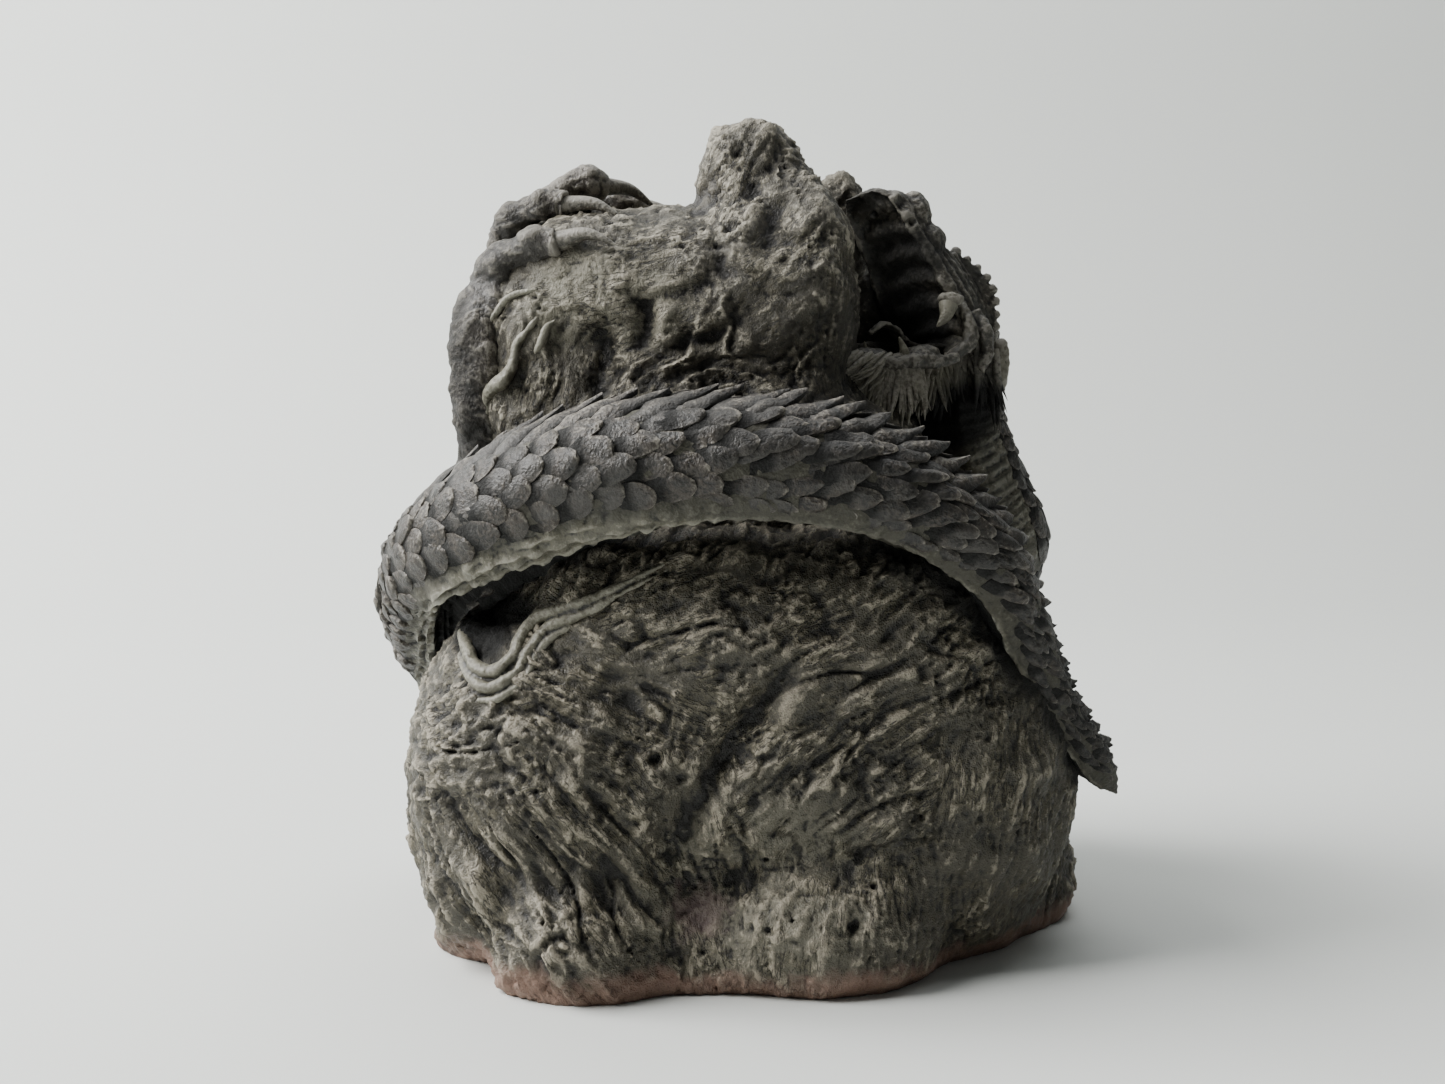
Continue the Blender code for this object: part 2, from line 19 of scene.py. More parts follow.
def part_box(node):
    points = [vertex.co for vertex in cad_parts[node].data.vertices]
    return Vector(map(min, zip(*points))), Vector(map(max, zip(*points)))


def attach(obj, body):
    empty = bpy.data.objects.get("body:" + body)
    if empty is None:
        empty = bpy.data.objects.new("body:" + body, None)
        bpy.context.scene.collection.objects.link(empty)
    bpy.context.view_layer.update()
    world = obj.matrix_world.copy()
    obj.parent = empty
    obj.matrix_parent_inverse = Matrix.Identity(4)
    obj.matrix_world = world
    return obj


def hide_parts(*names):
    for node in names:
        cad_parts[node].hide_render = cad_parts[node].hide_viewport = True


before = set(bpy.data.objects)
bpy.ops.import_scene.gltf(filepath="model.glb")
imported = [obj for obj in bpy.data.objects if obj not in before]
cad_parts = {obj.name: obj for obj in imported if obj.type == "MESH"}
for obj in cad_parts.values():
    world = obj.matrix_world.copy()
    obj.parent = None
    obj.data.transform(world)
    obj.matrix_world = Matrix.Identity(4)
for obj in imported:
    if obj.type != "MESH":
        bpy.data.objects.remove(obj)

NODE = "dragon_on_rock"
HEIGHT_IN_UNITS = 279
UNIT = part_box(NODE)[1].z / HEIGHT_IN_UNITS
Points = np.ndarray
Triple = tuple[float, float, float]
Lump = tuple[Triple, Triple, float]
Colour = tuple[float, float, float]
log = logging.getLogger("figurine")


def unit_vector(values: Points) -> Points:
    """The same directions, each one long."""
    values = np.asarray(values, float)
    return values / np.linalg.norm(values, axis=-1, keepdims=True)


def smooth_line(points: Points, per_span: int) -> Points:
    """Draws a smooth line through places.

    Args:
        points: The places, one a row, with any further values such as a radius.
        per_span: How many steps each span has.

    Returns:
        The line's rows, from the first place to the last.
    """
    points = np.asarray(points, float)
    padded = np.vstack([2 * points[0] - points[1], points, 2 * points[-1] - points[-2]])
    t = (np.arange(per_span) / per_span)[:, None]
    spans = []
    for span in range(len(points) - 1):
        a, b, c, d = padded[span : span + 4]
        cubic = (2 * a - 5 * b + 4 * c - d) * t**2 + (3 * b - a - 3 * c + d) * t**3
        spans.append(0.5 * (2 * b + (c - a) * t + cubic))
    return np.vstack([*spans, points[-1:]])


def ease(values: Points, low: float, high: float) -> Points:
    """Values as a smooth step from 0 at low to 1 at high."""
    share = np.clip((np.asarray(values, float) - low) / (high - low), 0, 1)
    return share * share * (3 - 2 * share)


def ridge(values: Points, middle: float, width: float) -> Points:
    """A soft bump that is 1 where values are at the middle and falls off over a width."""
    return np.exp(-(((values - middle) / width) ** 2))


class Grain:
    """Smooth random relief in space, the same on each run."""

    SLOPES = np.array([s for s in itertools.product((-1, 0, 1), repeat=3) if sum(map(abs, s)) == 2] * 2)[:16]
    LOUDNESS = 1.4

    def __init__(self, seed: int) -> None:
        """Keeps the seed that tells one relief from another."""
        self.seed = seed

    def scatter(self, cells: Points) -> Points:
        """A random whole number for each cell of a grid.

        Args:
            cells: The cells' whole numbers along the three axes.

        Returns:
            The numbers.
        """
        mixed = cells[..., 0] * 374761393 + cells[..., 1] * 668265263 + cells[..., 2] * 1274126177
        mixed = (mixed + self.seed * 974634777) & 0xFFFFFFFF
        mixed = ((mixed ^ (mixed >> 13)) * 1103515245) & 0xFFFFFFFF
        return mixed ^ (mixed >> 16)

    def at(self, points: Points) -> Points:
        """Reads the relief.

        Args:
            points: Places, already divided by the size of the relief's bumps.

        Returns:
            A height for each place, about -1 to 1.
        """
        cells = np.floor(points).astype(np.int64)
        local = points - cells
        fade = local * local * local * (local * (local * 6 - 15) + 10)
        total = np.zeros(len(points))
        for corner in itertools.product((0, 1), repeat=3):
            offset = np.array(corner)
            share = np.where(offset == 1, fade, 1 - fade).prod(axis=1)
            slopes = self.SLOPES[self.scatter(cells + offset) % 16]
            total += share * ((local - offset) * slopes).sum(axis=1)
        return total * self.LOUDNESS

    def pits(self, points: Points, share: float) -> Points:
        """Reads scattered small holes.

        Args:
            points: Places, already divided by the spacing of the holes.
            share: How many of the spots have a hole, from 0 to 1.

        Returns:
            1 in the middle of a hole and 0 away from all of them.
        """
        cells = np.floor(points - 0.5).astype(np.int64)
        deepest = np.zeros(len(points))
        for corner in itertools.product((0, 1), repeat=3):
            spot = cells + np.array(corner)
            number = self.scatter(spot)
            shift = np.stack([(number >> step) % 256 for step in (0, 8, 16)], axis=1) / 512 + 0.25
            radius = 0.12 + 0.16 * ((number >> 5) % 64) / 64
            near = np.linalg.norm(points - spot - shift, axis=1) / radius
            hole = np.exp(-(near**3)) * ((number >> 11) % 100 < share * 100)
            deepest = np.maximum(deepest, hole)
        return deepest

    def torn(self, points: Points, turn: float, long: float, wide: float) -> tuple[Points, Points]:
        """Reads streaks dragged through wet clay.

        Args:
            points: Places in units.
            turn: The streaks' angle across the front face, in degrees.
            long: A streak's length in units.
            wide: A streak's width in units.

        Returns:
            The streaks' height, about -1 to 1, and ledges that rise slowly to a torn edge, from 0 to 1.
        """
        angle = math.radians(turn)
        along = points[:, 0] * math.cos(angle) + points[:, 2] * math.sin(angle)
        across = points[:, 2] * math.cos(angle) - points[:, 0] * math.sin(angle)
        place = np.stack([along / long, across / wide, points[:, 1] / (wide * 2)], axis=1)
        coarse = self.at(place)
        middle = 0.35 - np.abs(self.at(place * (1.6, 2.1, 2.1) + 7))
        fine = 0.3 - np.abs(self.at(place * (2.6, 4.4, 4.4) + 3))
        streaks = 0.9 * coarse + 0.9 * middle + 0.7 * fine
        crease = ridge(self.at(place * 0.8 + 31), 0, 0.07)
        phase = (self.at(place * (0.9, 0.55, 0.55) + 19) * 1.7 + across / (wide * 3.4)) % 1
        ledges = np.where(phase < 0.9, (phase / 0.9) ** 1.6, (1 - phase) / 0.10)
        return streaks - 0.9 * crease, ledges


class Workbench:
    """The operators that every piece is shaped with."""

    @staticmethod
    def take(piece: bpy.types.Object) -> None:
        """Selects one piece alone.

        Args:
            piece: The piece.
        """
        bpy.ops.object.select_all(action="DESELECT")
        piece.select_set(True)
        bpy.context.view_layer.objects.active = piece

    @staticmethod
    def add(operator: Callable[..., object], name: str, **settings: object) -> bpy.types.Object:
        """Adds something new with an operator, and names it.

        Args:
            operator: What makes it.
            name: Its name.
            settings: The operator's properties.

        Returns:
            What was added.
        """
        bpy.ops.object.select_all(action="DESELECT")
        operator(**settings)
        made = bpy.context.object
        made.name = name
        return made

    @classmethod
    def edit(cls, piece: bpy.types.Object, *steps: Callable[[], object]) -> None:
        """Runs operators on the whole of a piece's mesh, one after the other.

        Args:
            piece: The piece.
            steps: The operators.
        """
        cls.take(piece)
        bpy.ops.object.mode_set(mode="EDIT")
        for step in steps:
            bpy.ops.mesh.select_all(action="SELECT")
            step()
        bpy.ops.object.mode_set(mode="OBJECT")

    @staticmethod
    def read(piece: bpy.types.Object) -> Points:
        """A piece's points in units.

        Args:
            piece: The piece.

        Returns:
            The points, one a row.
        """
        flat = np.empty(len(piece.data.vertices) * 3)
        piece.data.vertices.foreach_get("co", flat)
        return flat.reshape(-1, 3) / UNIT

    @staticmethod
    def move(piece: bpy.types.Object, points: Points) -> None:
        """Moves a piece's points to places in units."""
        piece.data.vertices.foreach_set("co", np.ascontiguousarray(points * UNIT).ravel())
        piece.data.update()

    @staticmethod
    def normals(piece: bpy.types.Object) -> Points:
        """The outward direction at each of a piece's points.

        Args:
            piece: The piece.

        Returns:
            The directions, one a row.
        """
        flat = np.empty(len(piece.data.vertices) * 3, np.float32)
        piece.data.vertex_normals.foreach_get("vector", flat)
        return flat.reshape(-1, 3).astype(float)

    @classmethod
    def refine(cls, piece: bpy.types.Object, kind: str, **settings: object) -> None:
        """Adds a modifier and applies it.

        Args:
            piece: The piece to change.
            kind: The modifier's type.
            settings: Its properties.
        """
        cls.take(piece)
        modifier = piece.modifiers.new("refine", kind)
        for name, value in settings.items():
            setattr(modifier, name, value)
        bpy.ops.object.modifier_apply(modifier=modifier.name)

    @classmethod
    def skin(cls, name: str, rings: Points) -> bpy.types.Object:
        """Wraps a grid round rings of points, merges its seam and fills its two ends.

        Args:
            name: The piece's name.
            rings: Rows of rings, each with equally many points, in units.

        Returns:
            The closed piece.
        """
        rows, sides = rings.shape[:2]
        grid = bpy.ops.mesh.primitive_grid_add
        piece = cls.add(grid, name, x_subdivisions=sides, y_subdivisions=rows - 1, size=1)
        cls.move(piece, np.concatenate([rings, rings[:, :1]], axis=1).reshape(-1, 3))
        cls.edit(
            piece,
            partial(bpy.ops.mesh.remove_doubles, threshold=UNIT * 1e-3),
            partial(bpy.ops.mesh.fill_holes, sides=0),
            partial(bpy.ops.mesh.normals_make_consistent, inside=False),
        )
        return piece

    @classmethod
    def tube(cls, name: str, route: Points, radii: Points, sides: int, flat: float = 1.0) -> bpy.types.Object:
        """Makes a tube of changing radius along a route.

        Args:
            name: The piece's name.
            route: Places in units.
            radii: A radius at each place.
            sides: How many points go round.
            flat: The tube's height as a share of its width.

        Returns:
            The closed tube.
        """
        return cls.skin(name, cls.rings(route, radii, sides, flat))

    @staticmethod
    def rings(route: Points, radii: Points, sides: int, flat: float) -> Points:
        """The rings of points of a tube, its section carried along the route without twisting.

        Args:
            route: Places in units.
            radii: A radius at each place.
            sides: How many points go round.
            flat: The tube's height as a share of its width.

        Returns:
            The rings, one for each place.
        """
        route = np.asarray(route, float)
        headings = unit_vector(np.gradient(route, axis=0))
        over = np.array((0.0, 0.0, 1.0))
        turns = np.linspace(0, 2 * math.pi, sides, endpoint=False)
        found = []
        for place, heading, radius in zip(route, headings, radii):
            over = over - heading * (over @ heading)
            if np.linalg.norm(over) < 1e-3:
                over = np.cross(heading, (1.0, 0.3, 0.1))
            over = unit_vector(over)
            side = np.cross(heading, over)
            found.append(
                place + radius * (np.cos(turns)[:, None] * side + flat * np.sin(turns)[:, None] * over)
            )
        return np.array(found)

    @classmethod
    def ball(
        cls, name: str, centre: Sequence[float], sizes: Sequence[float], detail: int
    ) -> bpy.types.Object:
        """A lump of clay, round or stretched, at a place in units.

        Args:
            name: The piece's name.
            centre: Its middle.
            sizes: Its half sizes.
            detail: How finely it is divided.

        Returns:
            The closed lump.
        """
        sphere = bpy.ops.mesh.primitive_ico_sphere_add
        piece = cls.add(sphere, name, subdivisions=detail, radius=1)
        cls.move(piece, cls.read(piece) * UNIT * np.array(sizes, float) + np.array(centre, float))
        return piece

    @classmethod
    def fuse(
        cls, name: str, pieces: Sequence[bpy.types.Object], grain: float, smooth: int
    ) -> bpy.types.Object:
        """Presses pieces into one closed skin.

        Args:
            name: The new piece's name.
            pieces: Closed pieces that meet.
            grain: The new skin's spacing in units.
            smooth: How often the joints are stroked smooth.

        Returns:
            The one piece.
        """
        joined = cls.gather(name, pieces)
        cls.refine(joined, "REMESH", mode="VOXEL", voxel_size=grain * UNIT)
        if smooth:
            cls.refine(joined, "SMOOTH", factor=0.5, iterations=smooth)
        return joined

    @classmethod
    def copies(
        cls, name: str, pattern: bpy.types.Object, places: Points, marks: dict[str, Points]
    ) -> bpy.types.Object:
        """Repeats a modelled shape, each copy with its own points.

        Args:
            name: The new piece's name.
            pattern: The shape, which is removed afterwards.
            places: The points of each copy, in units: copies, points, 3.
            marks: Numbers at each copy's points, by the mark's name.

        Returns:
            One piece of all the copies.
        """
        count, size = places.shape[:2]
        faces = [tuple(face.vertices) for face in pattern.data.polygons]
        bpy.data.objects.remove(pattern)
        everything = [tuple(i + size * copy for i in face) for copy in range(count) for face in faces]
        mesh = bpy.data.meshes.new(name)
        mesh.from_pydata([tuple(p) for p in (places.reshape(-1, 3) * UNIT)], [], everything)
        piece = bpy.data.objects.new(name, mesh)
        bpy.context.collection.objects.link(piece)
        cls.edit(piece, partial(bpy.ops.mesh.normals_make_consistent, inside=False))
        for mark, values in marks.items():
            cls.mark(piece, mark, values.ravel())
        return piece

    @classmethod
    def roughen(
        cls, piece: bpy.types.Object, coats: Sequence[tuple[int, float, float]]
    ) -> bpy.types.Object:
        """Moves a piece's surface in and out by layers of relief, each a seed, a size and a height.

        Args:
            piece: The piece.
            coats: The layers.

        Returns:
            The same piece.
        """
        points = cls.read(piece)
        swell = sum(height * Grain(seed).at(points / size) for seed, size, height in coats)
        cls.move(piece, points + cls.normals(piece) * swell[:, None])
        return piece

    @classmethod
    def gather(cls, name: str, pieces: Sequence[bpy.types.Object]) -> bpy.types.Object:
        """Joins pieces into one without changing their shapes.

        Args:
            name: The new piece's name.
            pieces: The pieces.

        Returns:
            The one piece.
        """
        cls.take(pieces[0])
        for piece in pieces:
            piece.select_set(True)
        if len(pieces) > 1:
            bpy.ops.object.join()
        pieces[0].name = name
        return pieces[0]

    @classmethod
    def plate(cls, across: int, along: int, thickness: float) -> bpy.types.Object:
        """A thin closed plate whose upper face is a grid, as the start of a scale or a leaf.

        Args:
            across: Faces across it.
            along: Faces along it.
            thickness: How far its lower face is under it, in units.

        Returns:
            The plate, one unit across and one along, from -1 to 1 and from 0 to 1.
        """
        grid = bpy.ops.mesh.primitive_grid_add
        piece = cls.add(grid, "plate", x_subdivisions=across, y_subdivisions=along, size=1)
        cls.move(piece, cls.read(piece) * UNIT * (2, 1, 1) + (0, 0.5, 0))
        bpy.ops.object.mode_set(mode="EDIT")
        bpy.ops.mesh.select_all(action="SELECT")
        bpy.ops.mesh.extrude_region_move(TRANSFORM_OT_translate={"value": (0, 0, -thickness * UNIT)})
        bpy.ops.mesh.dissolve_faces()
        bpy.ops.object.mode_set(mode="OBJECT")
        return piece

    @classmethod
    def mark_shading_and_dust(cls, piece: bpy.types.Object, passes: int) -> None:
        """Writes how far each point stands out of the clay round it, near and wide, as two marks that the
        materials turn into dusting and painted highlight where it stands out and into painted shade where it
        lies low.

        Args:
            piece: The piece to read and mark.
            passes: How often its copy is smoothed for the near reading; the wide one takes six times that.
        """
        mesh = piece.data
        ends = np.empty(len(mesh.edges) * 2, np.int64)
        mesh.edges.foreach_get("vertices", ends)
        first, second = ends.reshape(-1, 2).T
        places, outward = cls.read(piece), cls.normals(piece)
        count = len(places)
        degree = np.maximum(np.bincount(first, minlength=count) + np.bincount(second, minlength=count), 1)
        softened = places.copy()
        for number in range(passes * 6):
            for axis in range(3):
                values = softened[:, axis]
                total = np.bincount(first, values[second], count) + np.bincount(second, values[first], count)
                softened[:, axis] = 0.4 * values + 0.6 * total / degree
            if number + 1 in (passes, passes * 6):
                height = ((places - softened) * outward).sum(axis=1)
                height = np.clip(height / max(float(np.std(height)), 1e-3), -4, 4)
                cls.mark(piece, "worn" if number < passes else "deep", height)

    @staticmethod
    def mark(piece: bpy.types.Object, name: str, values: Points) -> None:
        """Writes a number at each of a piece's points, on top of what is there.

        Args:
            piece: The piece.
            name: The mark's name.
            values: The numbers.
        """
        attribute = piece.data.attributes.get(name)
        if attribute:
            before = np.empty(len(values), np.float32)
            attribute.data.foreach_get("value", before)
            values = np.maximum(before, values)
        else:
            attribute = piece.data.attributes.new(name, "FLOAT", "POINT")
        attribute.data.foreach_set("value", np.asarray(values, np.float32))

    @classmethod
    def finish(
        cls,
        piece: bpy.types.Object,
        finish: "Finish",
        passes: int,
        crease: float = 70.0,
        kept: float = 1.0,
    ) -> None:
        """Shades, marks and dresses a finished piece, and attaches it to the root.

        Args:
            piece: The piece.
            finish: The clay's surface.
            passes: How wide the relief is read for the dusting and painted shading.
            crease: Edges sharper than this, in degrees, stay crisp.
            kept: The share of the triangles that stays, taken from the plain places first.
        """
        if "worn" not in piece.data.attributes:
            cls.mark_shading_and_dust(piece, passes)
        if kept < 1:
            cls.refine(piece, "DECIMATE", ratio=kept)
        points = cls.read(piece)
        points[:, 2] = np.maximum(points[:, 2], 0)
        cls.move(piece, points)
        cls.take(piece)
        bpy.ops.object.shade_smooth_by_angle(angle=math.radians(crease))
        for spot in SPOTS:
            cls.mark(piece, spot.mark, spot.share(piece.name, points))
        piece.data.materials.clear()
        piece.data.materials.append(finish.value.material())
        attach(piece, "root")
        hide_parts(NODE)
        piece.data.calc_loop_triangles()
        log.info("%s: %d triangles", piece.name, len(piece.data.loop_triangles))


class Wire:
    """A shader socket that takes part in sums."""

    def __init__(self, bench: "NodeBench", socket: bpy.types.NodeSocket) -> None:
        """Keeps the socket and the bench that its sums are made on."""
        self.bench = bench
        self.socket = socket

    def sum(self, operation: str, *values: object) -> "Wire":
        """A Math node on one or two wires or numbers."""
        return self.bench.maths(operation, *values)

    def __add__(self, other: object) -> "Wire":
        """This plus the other."""
        return self.sum("ADD", self, other)

    __radd__ = __add__

    def __mul__(self, other: object) -> "Wire":
        """This times the other."""
        return self.sum("MULTIPLY", self, other)

    __rmul__ = __mul__

    def __sub__(self, other: object) -> "Wire":
        """This less the other."""
        return self.sum("SUBTRACT", self, other)

    def __rsub__(self, other: object) -> "Wire":
        """The other less this."""
        return self.sum("SUBTRACT", other, self)

    def sized(self) -> "Wire":
        """This without its sign."""
        return self.sum("ABSOLUTE", self)

    def step(self, low: float, high: float) -> "Wire":
        """This as a smooth step from 0 at low to 1 at high.

        Args:
            low: Where the step starts.
            high: Where it ends.

        Returns:
            The step.
        """
        settings = {"interpolation_type": "SMOOTHSTEP"}
        node = self.bench.node("ShaderNodeMapRange", settings, {0: self, 1: low, 2: high})
        return Wire(self.bench, node.outputs[0])


class NodeBench:
    """Where one material's nodes are put together."""

    def __init__(self, name: str) -> None:
        """Starts a material with its shader.

        Args:
            name: The material's name.
        """
        self.material = bpy.data.materials.new(name)
        self.material.use_nodes = True
        self.tree = self.material.node_tree
        self.shader = self.tree.nodes["Principled BSDF"]

    def node(self, kind: str, settings: dict[str, object], inputs: dict[object, object]) -> bpy.types.Node:
        """Adds a node.

        Args:
            kind: The node's type.
            settings: Its properties, set first.
            inputs: Values, sockets or wires for its sockets.

        Returns:
            The node.
        """
        made = self.tree.nodes.new(kind)
        for name, value in settings.items():
            setattr(made, name, value)
        for socket, value in inputs.items():
            self.feed(made.inputs[socket], value)
        return made

    def feed(self, socket: bpy.types.NodeSocket, value: object) -> None:
        """Links or sets one socket.

        Args:
            socket: The socket.
            value: A wire, a socket or a value for it.
        """
        if isinstance(value, Wire):
            value = value.socket
        if isinstance(value, bpy.types.NodeSocket):
            self.tree.links.new(value, socket)
        else:
            socket.default_value = value

    def maths(self, operation: str, *values: object) -> Wire:
        """A Math node on wires, sockets or numbers."""
        node = self.node("ShaderNodeMath", {"operation": operation}, dict(enumerate(values)))
        return Wire(self, node.outputs[0])

    def attribute(self, name: str) -> Wire:
        """A number that the mesh carries."""
        return Wire(self, self.node("ShaderNodeAttribute", {"attribute_name": name}, {}).outputs["Fac"])

    def grain(self, place: bpy.types.NodeSocket, size: float, detail: float = 3.0) -> Wire:
        """Noise whose bumps are size units wide, from 0 to 1."""
        inputs = {"Vector": place, "Scale": 1 / (size * UNIT), "Detail": detail}
        return Wire(self, self.node("ShaderNodeTexNoise", {}, inputs).outputs[0])

    def strokes(self, place: bpy.types.NodeSocket) -> Wire:
        """Fine marks dragged through the clay, at the angle that the mesh carries as turn, from 0 to 1.

        Args:
            place: The surface's position.

        Returns:
            The marks.
        """
        turn = self.attribute("turn")
        split = self.node("ShaderNodeSeparateXYZ", {}, {0: place})
        x, y, z = (Wire(self, split.outputs[axis]) for axis in range(3))
        level, steep = self.maths("COSINE", turn), self.maths("SINE", turn)
        along, across = x * level + z * steep, z * level - x * steep
        inputs = {0: along * (0.085 / UNIT), 1: y * (0.3 / UNIT), 2: across * (0.45 / UNIT)}
        dragged = self.node("ShaderNodeCombineXYZ", {}, inputs).outputs[0]
        inputs = {"Vector": dragged, "Scale": 1, "Detail": 4}
        return Wire(self, self.node("ShaderNodeTexNoise", {}, inputs).outputs[0])

    def blend(self, share: Wire, first: object, second: object) -> bpy.types.NodeSocket:
        """A colour between two."""
        node = self.node("ShaderNodeMix", {"data_type": "RGBA"}, {0: share, 6: first, 7: second})
        return node.outputs[2]


@dataclass(frozen=True)
class Spot:
    """A place that carries a mark: painted shade, or a paler tone.

    Pieces names what it lies on, by the start of their names; none means every piece.
    """

    mark: str
    centre: Triple
    sizes: Triple
    strength: float
    pieces: tuple[str, ...] = ()

    def share(self, name: str, points: Points) -> Points:
        """How strongly each of a piece's points is marked, from 0 to 1.

        Args:
            name: The piece's name.
            points: Its points in units.

        Returns:
            The strengths.
        """
        if self.pieces and not name.startswith(self.pieces):
            return np.zeros(len(points))
        away = np.linalg.norm((points - np.array(self.centre, float)) / np.array(self.sizes, float), axis=1)
        return self.strength * (1 - ease(away, 0.65, 1.15))


# Most spots paint shade: into the mouth and throat, the hollows under the coil and other places the light
# doesn't reach.
SPOTS = (
    Spot("sooty", (60, 6, 208), (21, 17, 20), 1.0),
    Spot("sooty", (71, 0, 177), (21, 29, 15), 1.0, ("head", "rock", "body")),
    Spot("sooty", (56, 0, 232), (17, 18, 14), 0.85, ("head",)),
    Spot("sooty", (40, -4, 254), (12, 14, 8), 0.6, ("head",)),
    Spot("sooty", (62, -14, 214), (36, 30, 54), 0.22, ("head",)),
    Spot("sooty", (31, -16, 192), (13, 34, 44), 0.55, ("rock_crag",)),
    Spot("sooty", (104, -52, 84), (26, 26, 44), 0.35, ("flank", "back")),
    Spot("sooty", (34, 25, 262), (14, 16, 16), 0.4, ("rock_crag",)),
    Spot("sooty", (-97, -10, 182), (13, 40, 48), 0.7, ("front_paw",)),
    Spot("sooty", (-78, -8, 236), (26, 34, 22), 0.4, ("front_paw",)),
    Spot("sooty", (76, -4, 180), (20, 20, 14), 1.0, ("beard",)),
    Spot("sooty", (78, -8, 196), (10, 14, 12), 0.5, ("beard",)),
    Spot("sooty", (-72, -58, 114), (20, 24, 9), 0.95, ("rock",)),
    Spot("sooty", (-85, -74, 110), (13, 30, 10), 1.0, ("rock",)),
    # Painted light: the crag's upper left, made paler where the light falls on it.
    Spot("pale", (-47, -45, 216), (30, 26, 19), 1.0, ("rock_crag",)),
    Spot("pale", (70.5, -13, 219), (5, 5, 4.5), 0.8, ("head",)),
    Spot("pale", (76, -10, 207), (5, 6, 10), 0.5, ("head",)),
    Spot("pale", (90, -1, 195), (4.5, 5, 11), 0.9, ("head",)),
    Spot("pale", (4, -98, 32), (44, 34, 32), 0.55, ("rock_base",)),
    Spot("pale", (50, -15, 188), (34, 25, 25), 0.75, ("beard",)),
    Spot("pale", (42, -24, 184), (13, 16, 15), 0.9, ("beard",)),
)


